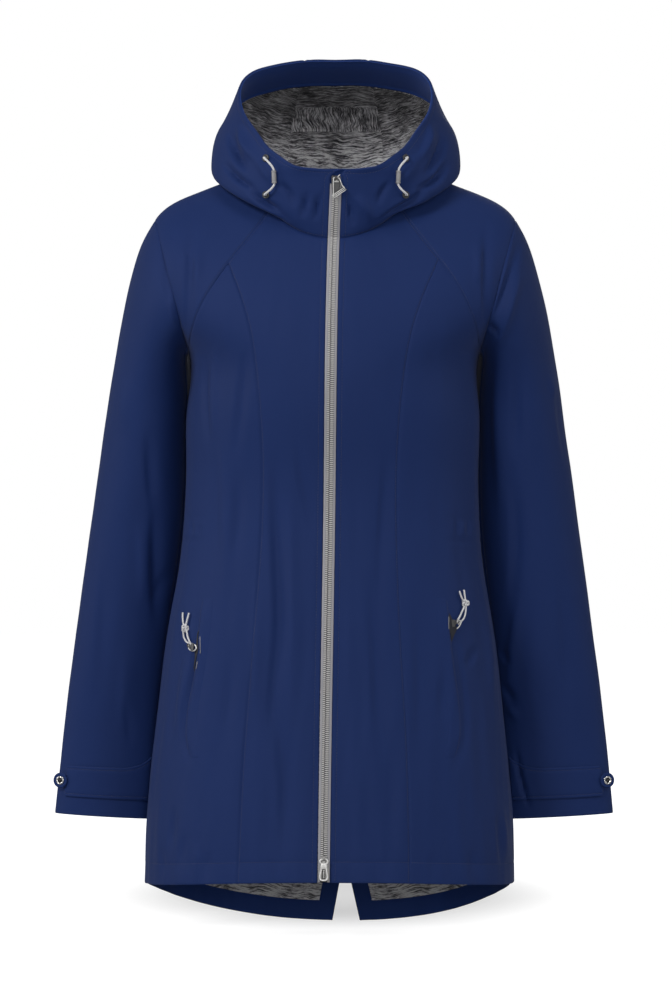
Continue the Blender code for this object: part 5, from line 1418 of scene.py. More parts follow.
@dataclass
class Panel:
    """A piece of cloth between two seams of a surface.

    The outer face is surface + outward (lift + relief), where relief is the creases, the edges'
    grooves and the dips of the stitches. first and last give the two seams along the piece.
    """

    name: str
    nodes: tuple[str, ...]
    surface: Points
    span: tuple[float, float]
    first: Line
    last: Line
    finish: Finish = NAVY
    relief: Callable[[Array], Array] | None = None
    flip: float = 1.0
    edges: tuple[EdgeFinish, EdgeFinish, EdgeFinish, EdgeFinish] = (PLAIN, PLAIN, PLAIN, PLAIN)
    step: float = 0.0040
    thickness: float = SHELL
    lift: Callable[[Array, Array, Array, Array], Array] | float = 0.0
    stops: tuple[float, ...] = ()
    mitres: dict[str, Callable[[Array, Array], Array]] = field(default_factory=dict)
    shift: Callable[[Array, Array], Array] | None = None
    held: str = "hung"
    rests_on: tuple[str, ...] = ()
    normal_step: float = 4e-4
    MITRE_REACH = 0.007
    SAMPLES = 61

    def rows(self) -> Array:
        """Places along the piece: even steps, and closer ones by the ends and their stitches."""
        fine = np.linspace(*self.span, 241)
        middle = (self.first(fine) + self.last(fine)) / 2
        line = self.surface(middle, fine)
        far = np.concatenate(([0], np.cumsum(np.linalg.norm(np.diff(line, axis=0), axis=1))))
        start, end = self.edges[2].offsets(), self.edges[3].offsets()
        room = far[-1] - start[-1] - end[-1]
        if room < self.step:
            scale = far[-1] / (start[-1] + end[-1] + self.step)
            start, end = start * scale, end * scale
            room = far[-1] - start[-1] - end[-1]
        count = max(1, round(room / self.step))
        between = start[-1] + room * np.arange(1, count) / count
        rows = np.interp(np.concatenate((start, between, (far[-1] - end)[::-1])), far, fine)
        for stop in self.stops:
            if self.span[0] < stop < self.span[1]:
                rows[np.abs(rows - stop).argmin()] = stop
        return rows

    def columns(self, rows: Array) -> tuple[Array, Array]:
        """Places across the piece for each row, at the same distances from both seams.

        Args:
            rows: places along the piece.

        Returns:
            The places across, and their distances from the first seam.
        """
        share = np.linspace(0, 1, self.SAMPLES)
        first, last = self.first(rows)[:, None], self.last(rows)[:, None]
        fine = first + (last - first) * share
        line = self.surface(fine, rows[:, None])
        steps = np.linalg.norm(np.diff(line, axis=1), axis=-1)
        far = np.concatenate((np.zeros((len(rows), 1)), np.cumsum(steps, 1)), 1)
        width = far[:, -1:]
        left, right = self.edges[0].offsets(), self.edges[1].offsets()
        scale = np.minimum(1, width / (left[-1] + right[-1] + 2 * self.step))
        count = max(1, round((width.max() - left[-1] - right[-1]) / self.step))
        start, end = left[-1] * scale, width - right[-1] * scale
        between = start + (end - start) * (np.arange(1, count) / count)
        distance = np.concatenate((left * scale, between, (width - right * scale)[:, ::-1]), 1)
        across = np.stack([np.interp(d, f, t) for d, f, t in zip(distance, far, fine)])
        return across, distance

    def build(self) -> Thing:
        """Makes the wall and its stitches.

        Returns:
            The piece.
        """
        rows = self.rows()
        across, from_first = self.columns(rows)
        along = np.broadcast_to(rows[:, None], across.shape).copy()
        if self.shift is not None:
            along = self.shift(across, along)
        base = self.surface(across, along)
        outward = normals(self.surface, across, along, self.flip, self.normal_step)
        from_last = from_first[:, -1:] - from_first
        steps = np.linalg.norm(np.diff(base, axis=0), axis=-1)
        from_start = np.concatenate((np.zeros((1, across.shape[1])), np.cumsum(steps, 0)))
        from_end = from_start[-1:] - from_start
        distances = {"first": from_first, "last": from_last, "start": from_start, "end": from_end}
        for place, shared in self.mitres.items():
            near = np.exp(-((distances[place] / self.MITRE_REACH) ** 2))[..., None]
            outward = unit(outward * (1 - near) + shared(across, along) * near)
        height = self.relief(base) if self.relief else np.zeros(across.shape)
        run = {"first": from_start, "last": from_start, "start": from_first, "end": from_first}
        for place, edge in zip(("first", "last", "start", "end"), self.edges):
            height = height + edge.relief(distances[place], run[place])
        if callable(self.lift):
            height = height + self.lift(from_first, from_last, from_start, from_end)
        else:
            height = height + self.lift
        outer = base + outward * height[..., None]
        inner = outer - outward * self.thickness
        uv = np.stack((from_first - from_first.max() / 2, from_start), -1)
        obj = closed_wall(self.name, outer, inner, outward, uv, self.finish)
        settle(obj, self.finish, nodes=self.nodes)
        self.declare()
        self.sew(outer, outward, distances)
        return obj

    def declare(self) -> None:
        """Does nothing but make a list of the pieces that it rests on."""
        list(self.rests_on)

    def sew(self, outer: Array, outward: Array, distances: dict[str, Array]) -> None:
        """Lays the stitches of each edge, clear of the piece's other edges."""
        clear = 0.0012
        for place, edge in zip(("first", "last", "start", "end"), self.edges):
            others = ("start", "end") if place in ("first", "last") else ("first", "last")
            keep = (distances[others[0]] > clear) & (distances[others[1]] > clear)
            grids = distances[place], outer, outward, keep
            if place in ("start", "end"):
                grids = tuple(np.swapaxes(g, 0, 1) for g in grids)
            if place in ("last", "end"):
                grids = tuple(g[:, ::-1] for g in grids)
            for value in edge.stitches:
                line, out = level_line(grids[0], value, grids[1:3], grids[3])
                SEWING.sew(self.name, line, out)


# ---------------------------------------------------------------------------------------------
# The coat's cloth


@dataclass
class Body:
    """One side of the body: centre front, side front, yoke and back."""

    side: Side

    def build(self) -> None:
        """Makes the four panels."""
        s, word = self.side.value, self.side.word
        crossing = seam_crossing(s)

        def zip_edge(rows: Array) -> Array:
            """The front edge beside the zip."""
            return turn_where(torso, rows, s, off_front(s, ZIP_HALF_WIDTH))

        def princess(rows: Array, more: float) -> Array:
            """The princess seam."""
            return turn_where(torso, rows, s, off_front(s, PRINCESS, more))

        def yoke(rows: Array, more: float) -> Array:
            """The yoke seam."""
            return turn_where(torso, rows, s, off_middle(s, YOKE_SEAM, more))

        def front_outer(rows: Array) -> Array:
            """The princess seam and, above their crossing, the yoke seam."""
            lines = princess(rows, SEAM_OVERLAP), yoke(rows, SEAM_OVERLAP)
            return s * np.minimum(np.abs(lines[0]), np.abs(lines[1]))

        def side_outer(rows: Array) -> Array:
            """The side seam and, above the armpit, the yoke seam."""
            return s * np.minimum(np.abs(yoke(rows, SEAM_OVERLAP)), math.pi / 2 - SIDE_EASE)

        def side_inner(rows: Array) -> Array:
            """The princess seam, never past the piece's other edge."""
            return s * np.minimum(np.abs(princess(rows, -SEAM_OVERLAP)), np.abs(side_outer(rows)))

        def yoke_inner(rows: Array) -> Array:
            """The yoke seam, never past the armhole."""
            return s * np.minimum(np.abs(yoke(rows, -SEAM_OVERLAP)), np.abs(self.armhole(rows, False)))

        def flank(across: Array, along: Array) -> Array:
            """The shared normals of the side seam and the shoulder line."""
            return normals(torso, np.full_like(across, s * math.pi / 2), along)

        def arm(back: bool) -> Callable[[Array, Array], Array]:
            """The shared normals of the armhole, or of the side seam and shoulder outside it."""

            def shared(across: Array, along: Array) -> Array:
                """Normals at each row's height."""
                rows = along[:, 0]
                inside = (rows > HEIGHT["armpit"]) & (rows < HEIGHT["shoulder"])
                out = normals(torso, np.full_like(rows, s * math.pi / 2), rows)
                out[inside] = armhole_normals(s, armhole_angle(rows[inside], back))
                return np.broadcast_to(out[:, None], (*across.shape, 3))

            return shared

        stops = (HEIGHT["armpit"], HEIGHT["shoulder"], crossing, level(-0.3515), level(-0.3735))
        Panel(f"centre_front_{word}", (f"front_{word}",), torso, (0, NECK_EDGE), zip_edge, front_outer,
              relief=body_relief, edges=(ZIP_EDGE, TOPSTITCHED, HEMMED, PLAIN), stops=stops,
              mitres={"end": neck}, rests_on=(f"yoke_{word}",)).build()
        Panel(f"side_panel_{word}", (f"side_front_{word}",), torso, (0, crossing), side_inner, side_outer,
              relief=body_relief, edges=(PLAIN, PLAIN, HEMMED, PLAIN), stops=stops,
              mitres={"last": flank}, rests_on=(f"yoke_{word}",)).build()
        Panel(f"shoulder_yoke_{word}", (f"yoke_{word}",), torso, (HEIGHT["armpit"], NECK_EDGE), yoke_inner,
              lambda rows: self.armhole(rows, False), relief=body_relief,
              edges=(TOPSTITCHED, PLAIN, PLAIN, PLAIN), stops=stops,
              mitres={"last": arm(False), "end": neck}, rests_on=(f"back_{word}",)).build()
        Panel(f"back_panel_{word}", (f"back_{word}",), torso, (0, NECK_EDGE),
              lambda rows: self.armhole(rows, True),
              lambda rows: turn_where(torso, rows, s, off_back(s, vent_edge), back=True),
              relief=body_relief, edges=(PLAIN, TOPSTITCHED, HEMMED, PLAIN), stops=stops,
              mitres={"first": arm(True), "end": neck}, rests_on=(f"yoke_{word}",)).build()

    def armhole(self, rows: Array, back: bool) -> Array:
        """Turns along the side: the side seam, then the armhole, then the shoulder line."""
        s = self.side.value
        turns = np.full_like(rows, s * (math.pi / 2 + (SIDE_EASE if back else -SIDE_EASE)))
        inside = (rows > HEIGHT["armpit"] + 1e-6) & (rows < HEIGHT["shoulder"] - 1e-6)
        turns[inside] = turn_where(torso, rows[inside], s, past_armhole(s, -ARMHOLE_INSET), back)
        return turns


@dataclass
class BackInside:
    """What shows inside one back: the hem and vent facing, and the lining above it."""

    side: Side

    def build(self) -> None:
        """Makes the facing, an L-shaped strip, and the lining."""
        s, word = self.side.value, self.side.word
        start = s * (math.pi / 2 + SIDE_EASE)
        row = HEIGHT["armpit"] / 8
        top = row + FACING_ABOVE_VENT

        def edge(rows: Array, distance: float) -> Array:
            """The vent's edge, moved sideways by a distance."""
            return turn_where(torso, rows, s, off_back(s, lambda z: vent_edge(z) + distance), back=True)

        def strip(across: Array, along: Array) -> Array:
            """The L-shaped strip: across runs along the hem and then up the vent, along runs inwards."""
            across, along = np.broadcast_arrays(np.clip(across, 0, 2), np.clip(along, 0, 1))
            corner = np.clip(across, 0, 1)
            up = np.clip(across - 1, 0, 1)
            outer_at = 0.0006 + (top - 0.0006) * up
            inner_at = HEM_FACING + (top - HEM_FACING) * up
            at = outer_at + (inner_at - outer_at) * along
            ends = self.near_edge(at, VENT_FACING * along + 0.0006, edge)
            return torso(start + (ends - start) * corner, at)

        def under(a: Array, b: Array, c: Array, d: Array) -> Array:
            """How far the facing lies under the back: close at the hem, looser above it."""
            return -(SHELL + CLOSE + (LOOSE - CLOSE) * ease(c / 0.012))

        # The hem facing's brighter navy is painted light.
        Panel(f"hem_facing_{word}", (f"back_facing_{word}",), strip, (0, 1), steady(0), steady(2),
              INSIDE_NAVY_PAINTED_LIGHT, body_relief, s, (PLAIN, PLAIN, FOLDED, PLAIN), 0.0035, LINING, under,
              rests_on=(f"back_{word}",), normal_step=2e-4).build()
        Panel(f"skirt_lining_{word}", (f"back_lining_{word}",), torso,
              (HEM_FACING + GAP, HEIGHT["armpit"] * 3 / 8), steady(start),
              lambda rows: edge(rows, VENT_FACING + GAP), KNIT_LOW,
              lambda p: body_relief(p) + lining_relief(p), step=0.0045, thickness=LINING,
              lift=-(SHELL + LOOSE), rests_on=(f"back_{word}",)).build()

    @staticmethod
    def near_edge(at: Array, distance: Array, edge: Callable[[Array, float], Array]) -> Array:
        """The edge's turn at each place, for a distance that differs from place to place."""
        table = np.linspace(0, float(at.max()) + 0.01, 60)
        near, far = edge(table, 0.0), edge(table, VENT_FACING)
        share = distance / VENT_FACING
        return np.interp(at, table, near) * (1 - share) + np.interp(at, table, far) * share


@dataclass
class Hood:
    """The hood: two sides that reach the zip, a centre panel, the facing and the lining."""

    NOTCH = 0.0030
    NOTCH_FROM, NOTCH_TO = 0.74, 0.98
    SLANT = 0.0082
    SLANT_FROM, SLANT_TO = 0.84, 1.02
    SINK = 0.007
    KNIT_TURN_LOW = 0.77
    KNIT_TURN_HIGH = 0.90

    def facing_table(self) -> tuple[Array, Array]:
        """The rise at which the facing ends, for turns all round."""
        turns = np.linspace(0, 2 * math.pi, 361)
        wide = np.minimum(1, (1 - np.cos(turns)) * 1.1)
        distance = FRONT_FACING + (HOOD_FACING - FRONT_FACING) * wide
        rises = np.linspace(0, 1, 81)
        path = hood(turns[:, None], rises[None, :])
        steps = np.linalg.norm(np.diff(path, axis=1), axis=-1)
        below = np.concatenate((np.zeros((len(turns), 1)), np.cumsum(steps[:, ::-1], axis=1)), axis=1)
        return turns, np.array([np.interp(d, row, rises[::-1]) for d, row in zip(distance, below)])

    def build(self) -> None:
        """Makes the hood's panels."""
        for side in Side:
            self.side_panel(side)

        first, last = HOOD_SEAM + HOOD_SEAM_EASE, 2 * math.pi - HOOD_SEAM - HOOD_SEAM_EASE
        Panel("hood_middle", ("hood_centre",), hood, (0.001, 1.0), steady(first), steady(last),
              relief=hood_relief, edges=(TWIN_STITCHED, TWIN_STITCHED, PLAIN, RIM_EDGE), step=0.0036,
              mitres={"start": neck}, rests_on=("hood_side_left",)).build()
        self.inside()

    def side_panel(self, side: Side) -> None:
        """One side of the hood, whose front edge closes above the zip."""
        s = side.value

        def front(rows: Array) -> Array:
            """The front edge: beside the zip, then slanting into a notch above it."""
            closing = ease((rows - self.NOTCH_FROM) / (self.NOTCH_TO - self.NOTCH_FROM))
            opening = ZIP_HALF_WIDTH + (self.NOTCH - ZIP_HALF_WIDTH) * closing
            slanting = ease((rows - self.SLANT_FROM) / (self.SLANT_TO - self.SLANT_FROM))
            opening = opening + s * self.SLANT * slanting
            near = turn_where(hood, rows, s, off_hood_front(s, np.maximum(opening, 0)))
            past = turn_where(hood, rows, -s, off_hood_front(-s, np.maximum(-opening, 0)))
            return np.where(opening > 0, near, past)

        Panel(f"hood_panel_{side.word}", (f"hood_side_{side.word}",), hood, (0.001, 1.0), front,
              steady(s * (HOOD_SEAM - HOOD_SEAM_EASE)), relief=hood_relief,
              edges=(ZIP_EDGE, PLAIN, TOPSTITCHED, RIM_EDGE), step=0.0034,
              stops=(TAPE_TOP_RISE, TAPE_TOP_RISE + 0.02), mitres={"start": neck},
              rests_on=("hood_centre", "zip_tape_" + side.word)).build()

    def inside(self) -> None:
        """The facing round the hood's edge, and three lining panels down to the neck seam."""
        turns, rises = self.facing_table()

        def facing_edge(turn: Array) -> Array:
            """The rise at which the facing ends."""
            return np.interp(turn, turns, rises)

        def facing(turn: Array, share: Array) -> Array:
            """The facing's surface, from its sewn edge to the hood's edge."""
            low = facing_edge(turn)
            return hood(turn, low + (0.9995 - low) * share)

        def under(a: Array, b: Array, c: Array, d: Array) -> Array:
            """How far the facing lies under the hood: deeper near its ends, behind the notch."""
            ends = np.exp(-((a / 0.020) ** 2)) + np.exp(-((b / 0.014) ** 2))
            return -(SHELL + CLOSE + (LOOSE - CLOSE) * ease(d / 0.014) + self.SINK * ends * ease(d / 0.004))

        # The edge facing's brighter navy is painted light.
        Panel("edge_facing", ("hood_facing",), facing, (0, 1), steady(-0.12), steady(2 * math.pi - 0.125),
              INSIDE_NAVY_PAINTED_LIGHT, hood_relief, 1.0, (BUTTED, BUTTED, TOPSTITCHED, FOLDED), 0.0036, LINING, under,
              rests_on=("hood_side_left", "hood_side_right"), normal_step=1e-3).build()

        def lining(turn: Array, share: Array) -> Array:
            """The lining's surface, from the neck seam to just under the facing's sewn edge."""
            high = facing_edge(turn) - 0.003
            return hood(turn, 0.045 + (high - 0.045) * share)

        seam, low, high = 0.0006, self.KNIT_TURN_LOW, self.KNIT_TURN_HIGH
        middle = HOOD_SEAM + seam, 2 * math.pi - HOOD_SEAM - seam
        pieces = (
            ("knit_left", "hood_lining_left", (0, 1), (0.085, HOOD_SEAM - seam), KNIT),
            ("knit_neck", "hood_lining_centre", (0, low - seam), middle, KNIT),
            ("knit_middle", "hood_lining_centre", (low + seam, high - seam), middle, KNIT_ACROSS),
            ("knit_top", "hood_lining_centre", (high + seam, 1), middle, KNIT),
            ("knit_right", "hood_lining_right", (0, 1),
             (2 * math.pi - HOOD_SEAM + seam, 2 * math.pi - 0.085), KNIT),
        )
        for name, node, span, (first, last), finish in pieces:
            Panel(name, (node,), lining, span, steady(first), steady(last), finish,
                  lambda p: hood_relief(p) + lining_relief(p), thickness=LINING,
                  lift=-(SHELL + LOOSE + GAP), rests_on=("hood_facing",), normal_step=1e-3).build()


@dataclass
class Sleeve:
    """One sleeve: its upper and under panels, the cuff tab and the snap."""

    side: Side
    ARMPIT_OVERLAP = 14
    TAB_TOP = 0.945
    TAB_BOTTOM = 0.980
    TAB_FLARE = 0.014
    TAB_START = math.radians(149)
    TAB_END = math.radians(33)
    TAB_CORNER = 0.007
    SNAP_AT = math.radians(26)
    SNAP_LIFT = 0.0052
    SNAP_RADIUS = 0.0084
    SNAP_RING_RADIUS = 0.0048
    SNAP_HEIGHT = 0.0014

    def build(self) -> None:
        """Makes the panels, the tab and the snap."""
        s, word = self.side.value, self.side.word
        surface = sleeve_of(s)
        relief = sleeve_relief(self.side)

        def shift(around: Array, down: Array) -> Array:
            """Keeps the sleeve's head a seam's width away from the armhole."""
            angles = around[0]
            start, below = surface(angles, 0 * angles), surface(angles, 0 * angles + 0.01)
            pace = np.linalg.norm(below - start, axis=-1) / 0.01
            under = 1 + self.ARMPIT_OVERLAP * np.exp(-(((angles - math.pi) / 0.35) ** 2))
            return down + (SLEEVE_EASE * under / pace)[None, :] * np.clip(1 - down / 0.05, 0, 1)

        def head(around: Array, down: Array) -> Array:
            """The shared normals of the armhole."""
            return np.broadcast_to(armhole_normals(s, around[0]), (*around.shape, 3))

        spans = (
            ("upper_sleeve", "sleeve", BACK_SEAM - 2 * math.pi + SLEEVE_SEAM_EASE,
             FRONT_SEAM - SLEEVE_SEAM_EASE),
            ("lower_sleeve", "under_sleeve", FRONT_SEAM + SLEEVE_SEAM_EASE, BACK_SEAM - SLEEVE_SEAM_EASE),
        )
        for name, node, first, last in spans:
            Panel(f"{name}_{word}", (f"{node}_{word}",), surface, (0, 1), steady(first), steady(last),
                  relief=relief, flip=s, edges=(PLAIN, PLAIN, PLAIN, FOLDED), shift=shift,
                  mitres={"start": head}, rests_on=(f"yoke_{word}", f"back_{word}"),
                  normal_step=2e-3).build()
        self.tab(surface, relief)
        self.snap(surface)

    def tab(self, surface: Points, relief: Callable[[Array], Array]) -> None:
        """The cuff tab: it follows the sleeve, with a rounded end by the snap."""
        s, word = self.side.value, self.side.word

        def limits(around: Array) -> tuple[Array, Array]:
            """The tab's top and bottom at each angle, with round corners at its free end."""
            past = np.clip((around - math.radians(105)) / (self.TAB_START - math.radians(105)), 0, 1)
            corner = np.clip(1 - (around - self.TAB_END) / 0.10, 0, 1)
            inset = self.TAB_CORNER * (1 - np.sqrt(1 - corner**2 * 0.96))
            return self.TAB_TOP - self.TAB_FLARE * past**2 + inset, self.TAB_BOTTOM - inset

        def strip(share: Array, around: Array) -> Array:
            """The tab's surface: share runs from its bottom to its top."""
            top, bottom = limits(around)
            return surface(around, bottom + (top - bottom) * share)

        Panel(f"tab_{word}", (f"cuff_tab_{word}",), strip, (self.TAB_END, self.TAB_START), steady(0),
              steady(1), relief=relief, flip=s, edges=(TAB_EDGE, TAB_EDGE, TAB_EDGE, PLAIN), step=0.003,
              lift=2 * GAP + SHELL, rests_on=(f"sleeve_{word}",), held="laid",
              normal_step=2e-3).build()

    def snap(self, surface: Points) -> None:
        """The snap: a cloth-covered disc with a bright ring and a dark middle."""
        s, word = self.side.value, self.side.word
        down = (self.TAB_TOP + self.TAB_BOTTOM) / 2
        at = np.array(self.SNAP_AT), np.array(down)
        out = normals(surface, *at, s, 2e-3)
        out = unit(out * 0.5 + np.array((0.0, -0.5, 0.0)))
        place = frame_on(surface(*at) + out * self.SNAP_LIFT, out, (0, 0, 1))
        r, ring, h = self.SNAP_RADIUS, self.SNAP_RING_RADIUS, self.SNAP_HEIGHT
        disc = ((0, 0), (r - 0.0006, 0), (r - 0.0001, 0.0003), (r, 0.0007), (r - 0.0002, h - 0.0004),
                (r - 0.0008, h), (r - 0.0016, h - 0.0001), (ring + 0.0012, h - 0.0002),
                (ring, h - 0.0004), (0, h - 0.0004))
        bright = ((0, h - 0.0006), (ring - 0.0002, h - 0.0006), (ring, h), (ring - 0.0003, h + 0.0007),
                  (ring - 0.0010, h + 0.0010), (ring - 0.0018, h + 0.0007), (ring - 0.0022, h + 0.0001),
                  (0, h + 0.0001))
        dark = ((0, h - 0.0001), (0.0026, h - 0.0001), (0.0026, h + 0.00025), (0.0016, h + 0.0003),
                (0.0013, h + 0.0007), (0.0006, h + 0.0009), (0, h + 0.0009))
        settle(turned(f"snap_disc_{word}", disc, place, NAVY, 48), NAVY, nodes=(f"cuff_snap_{word}",))
        settle(turned(f"snap_ring_{word}", bright, place, SILVER, 48), SILVER)
        settle(turned(f"snap_middle_{word}", dark, place, DARK_METAL_AND_SHADE, 32), DARK_METAL_AND_SHADE)


# ---------------------------------------------------------------------------------------------
# Fittings


def frame_on(point: Array, out: object, up: object) -> Matrix:
    """A matrix at point whose Z is out, whose Y is as near to up as it can be, and X is across."""
    out = Vector(out).normalized()
    across = Vector(up).cross(out).normalized()
    matrix = Matrix((across, out.cross(across), out)).transposed().to_4x4()
    matrix.translation = Vector(point)
    return matrix


def placed(points: Array, matrix: Matrix) -> Array:
    """Points moved by a matrix."""
    turn = np.array(matrix)
    return points @ turn[:3, :3].T + turn[:3, 3]


def turned(name: str, profile: tuple, matrix: Matrix, finish: Finish, count: int) -> Thing:
    """A turned piece: each ring is the profile's (radius, height) swept round Z."""
    radius, height = np.array(profile, float).T
    angle = np.linspace(0, 2 * math.pi, count, endpoint=False)
    points = np.stack((np.cos(angle)[:, None] * radius, np.sin(angle)[:, None] * radius,
                       np.broadcast_to(height, (count, len(radius)))), -1)
    n = len(radius)
    i, j = np.meshgrid(np.arange(count), np.arange(n - 1), indexing="ij")
    k = (i + 1) % count
    quads = np.stack((i * n + j, k * n + j, k * n + j + 1, i * n + j + 1), -1).reshape(-1, 4)
    far = np.cumsum(np.abs(np.gradient(height)) + np.abs(np.gradient(radius)))
    uv = np.stack(np.broadcast_arrays(angle[:, None] * radius.max(), far), -1)
    obj = new_object(name, placed(points.reshape(-1, 3), matrix), quads.tolist(), finish, uv)
    return merged(obj)


def merged(obj: Thing) -> Thing:
    """Merges equal points and turns the faces outwards."""
    with edited(obj.data) as mesh:
        bmesh.ops.remove_doubles(mesh, verts=mesh.verts, dist=MERGE)
        bmesh.ops.dissolve_degenerate(mesh, edges=mesh.edges, dist=1e-7)
        bmesh.ops.recalc_face_normals(mesh, faces=mesh.faces)
        if mesh.calc_volume(signed=True) < 0:
            bmesh.ops.reverse_faces(mesh, faces=mesh.faces)
    obj.data.shade_smooth()
    obj.data.set_sharp_from_angle(angle=math.radians(50))
    return obj


def tube(name: str, line: Array, radius: Array | float, finish: Finish, sides: int = 16) -> Thing:
    """A closed tube along a line: rings square to it, carried without twist, with round caps."""
    line = np.asarray(line, float)
    radius = np.broadcast_to(np.asarray(radius, float), (len(line),))
    tangent = unit(np.gradient(line, axis=0))
    side = np.zeros_like(line)
    side[0] = unit(np.cross(tangent[0], (0.3, 0.5, 0.8)))
    for i in range(1, len(line)):
        side[i] = unit(side[i - 1] - tangent[i] * (side[i - 1] @ tangent[i]))
    up = np.cross(tangent, side)
    angle = np.linspace(0, 2 * math.pi, sides, endpoint=False)
    around = np.cos(angle)[None, :, None] * side[:, None] + np.sin(angle)[None, :, None] * up[:, None]
    rings = line[:, None] + around * radius[:, None, None]
    caps = []
    for end, sign in ((0, -1), (-1, 1)):
        for share in (0.55, 0.9):
            caps.append((end, line[end] + sign * tangent[end] * radius[end] * share * 0.6
                         + around[end] * radius[end] * math.sqrt(1 - share**2)))
    rings = np.concatenate((caps[1][1][None], caps[0][1][None], rings, caps[2][1][None], caps[3][1][None]))
    count = len(rings)
    i, j = np.meshgrid(np.arange(count - 1), np.arange(sides), indexing="ij")
    k = (j + 1) % sides
    low, high = i * sides, (i + 1) * sides
    quads = np.stack((low + j, low + k, high + k, high + j), -1).reshape(-1, 4)
    ends = [tuple(range(sides))[::-1], tuple((count - 1) * sides + j for j in range(sides))]
    far = np.concatenate(([0], np.cumsum(np.linalg.norm(np.diff(rings.mean(1), axis=0), axis=1))))
    uv = np.stack(np.broadcast_arrays(far[:, None], angle[None, :] * float(radius.max())), -1)
    obj = new_object(name, rings.reshape(-1, 3), quads.tolist() + ends, finish, uv)
    with edited(obj.data) as mesh:
        if mesh.calc_volume(signed=True) < 0:
            bmesh.ops.reverse_faces(mesh, faces=mesh.faces)
    obj.data.shade_smooth()
    return obj


def through(points: object, count: int) -> Array:
    """A smooth route through points, evenly spaced by their distances."""
    points = np.array(points, float)
    keys = np.concatenate(([0], np.cumsum(np.linalg.norm(np.diff(points, axis=0), axis=1))))
    return weights(keys, np.linspace(0, keys[-1], count)) @ points


def locate(surface: Points, x: float, z: float, turn: float, rise: float = 0.6) -> tuple[Array, Array]:
    """A surface's turn and rise at a place in the front view, by Newton's method."""
    for _ in range(30):
        here = surface(turn, rise)
        by_turn = (surface(turn + 1e-4, rise) - here) / 1e-4
        by_rise = (surface(turn, rise + 1e-4) - here) / 1e-4
        slope = np.array(((by_turn[0], by_rise[0]), (by_turn[2], by_rise[2])))
        step = np.linalg.solve(slope, np.array((x - here[0], z - here[2])))
        turn = turn + np.clip(step[0], -0.2, 0.2)
        rise = rise + np.clip(step[1], -0.15, 0.15)
    return np.array(float(turn)), np.array(float(rise))


@dataclass
class HoodCord:
    """One hood cord: two eyelets, the cord between them and the toggle on it."""

    side: Side
    RADIUS = 0.0012
    EYELET_RADIUS = 0.0032
    EYELET_WIRE = 0.0010
    EYELET_X = 0.0755
    UPPER_Z = 0.0410
    LOWER_Z = 0.0012
    TOGGLE_X = 0.0655
    TOGGLE_Z = 0.0203
    TOGGLE_LENGTH = 0.0140
    TOGGLE_RADIUS = 0.0027
    TOGGLE_BORE = 0.0016

    def build(self) -> None:
        """Makes the eyelets, the toggle and the cord."""
        s, word = self.side.value, self.side.word
        ends = []
        for place, z in (("upper", self.UPPER_Z), ("lower", self.LOWER_Z)):
            turn, rise = locate(hood, s * self.EYELET_X + 0.0020, z, s * 0.9)
            point, out = hood(turn, rise), normals(hood, turn, rise)
            matrix = frame_on(point + out * (self.EYELET_WIRE + GAP), out, (0, 0, 1))
            self.eyelet(f"eyelet_{place}_{word}", matrix, f"hood_eyelet_{place}_{word}")
            ends.append((point + out * 0.0006, point + out * 0.0040))
        turn, rise = locate(hood, s * self.TOGGLE_X + 0.0024, self.TOGGLE_Z, s * 0.8)
        point, out = hood(turn, rise), normals(hood, turn, rise)
        centre = point + out * (self.TOGGLE_RADIUS + 0.0016)
        up = unit(ends[0][1] - ends[1][1])
        up = unit(up - out * np.dot(up, out) * 0.6)
        half = self.TOGGLE_LENGTH / 2
        toggle = self.toggle(frame_on(centre, up, out))
        route = [*ends[0], centre + up * (half + 0.0005), centre + up * half / 2, centre]
        route += [centre - up * half / 2, centre - up * (half + 0.0005), ends[1][1], ends[1][0]]
        line = through(route, 61)
        cord = tube(f"drawcord_{word}", line, self.RADIUS, CORD)
        settle(cord, CORD, nodes=(f"hood_cord_{word}",))
        tuple(line[0])

    def eyelet(self, name: str, matrix: Matrix, node: str) -> None:
        """A rolled metal ring, with a dark disc in its hole as painted shade."""
        r, w = self.EYELET_RADIUS, self.EYELET_WIRE
        angle = np.linspace(0, 2 * math.pi, 13)
        profile = tuple(zip(r + w * np.cos(angle), w * np.sin(angle)))
        settle(turned(name, profile, matrix, DIM_METAL_AND_SHADE, 36), DIM_METAL_AND_SHADE, nodes=(node,))
        # Painted shade: a black disc in the ring's hole.
        hole = ((0, -0.0009), (r - 0.0006, -0.0009), (r - 0.0006, -0.0005), (0, -0.0005))
        settle(turned(name + "_hole", hole, matrix, DARK_METAL_AND_SHADE, 24), DARK_METAL_AND_SHADE)

    def toggle(self, matrix: Matrix) -> Thing:
        """The toggle: a sleeve of rubber with a fine collar at each end."""
        r, bore, half = self.TOGGLE_RADIUS, self.TOGGLE_BORE, self.TOGGLE_LENGTH / 2
        steps = ((0.0006, 0.0), (0.0002, 0.0002), (0.0, 0.0007),
                 (0.0, 0.0018), (0.0004, 0.0022), (0.0002, 0.0030))
        low = tuple((r - inset, high - half) for inset, high in steps)
        high = tuple((radius, -height) for radius, height in low[::-1])
        profile = ((bore, -half), *low, *high, (bore, half), (bore, -half))
        toggle = turned(f"cord_toggle_{self.side.word}", profile, matrix, RUBBER, 36)
        return settle(toggle, RUBBER, nodes=(f"hood_toggle_{self.side.word}",))


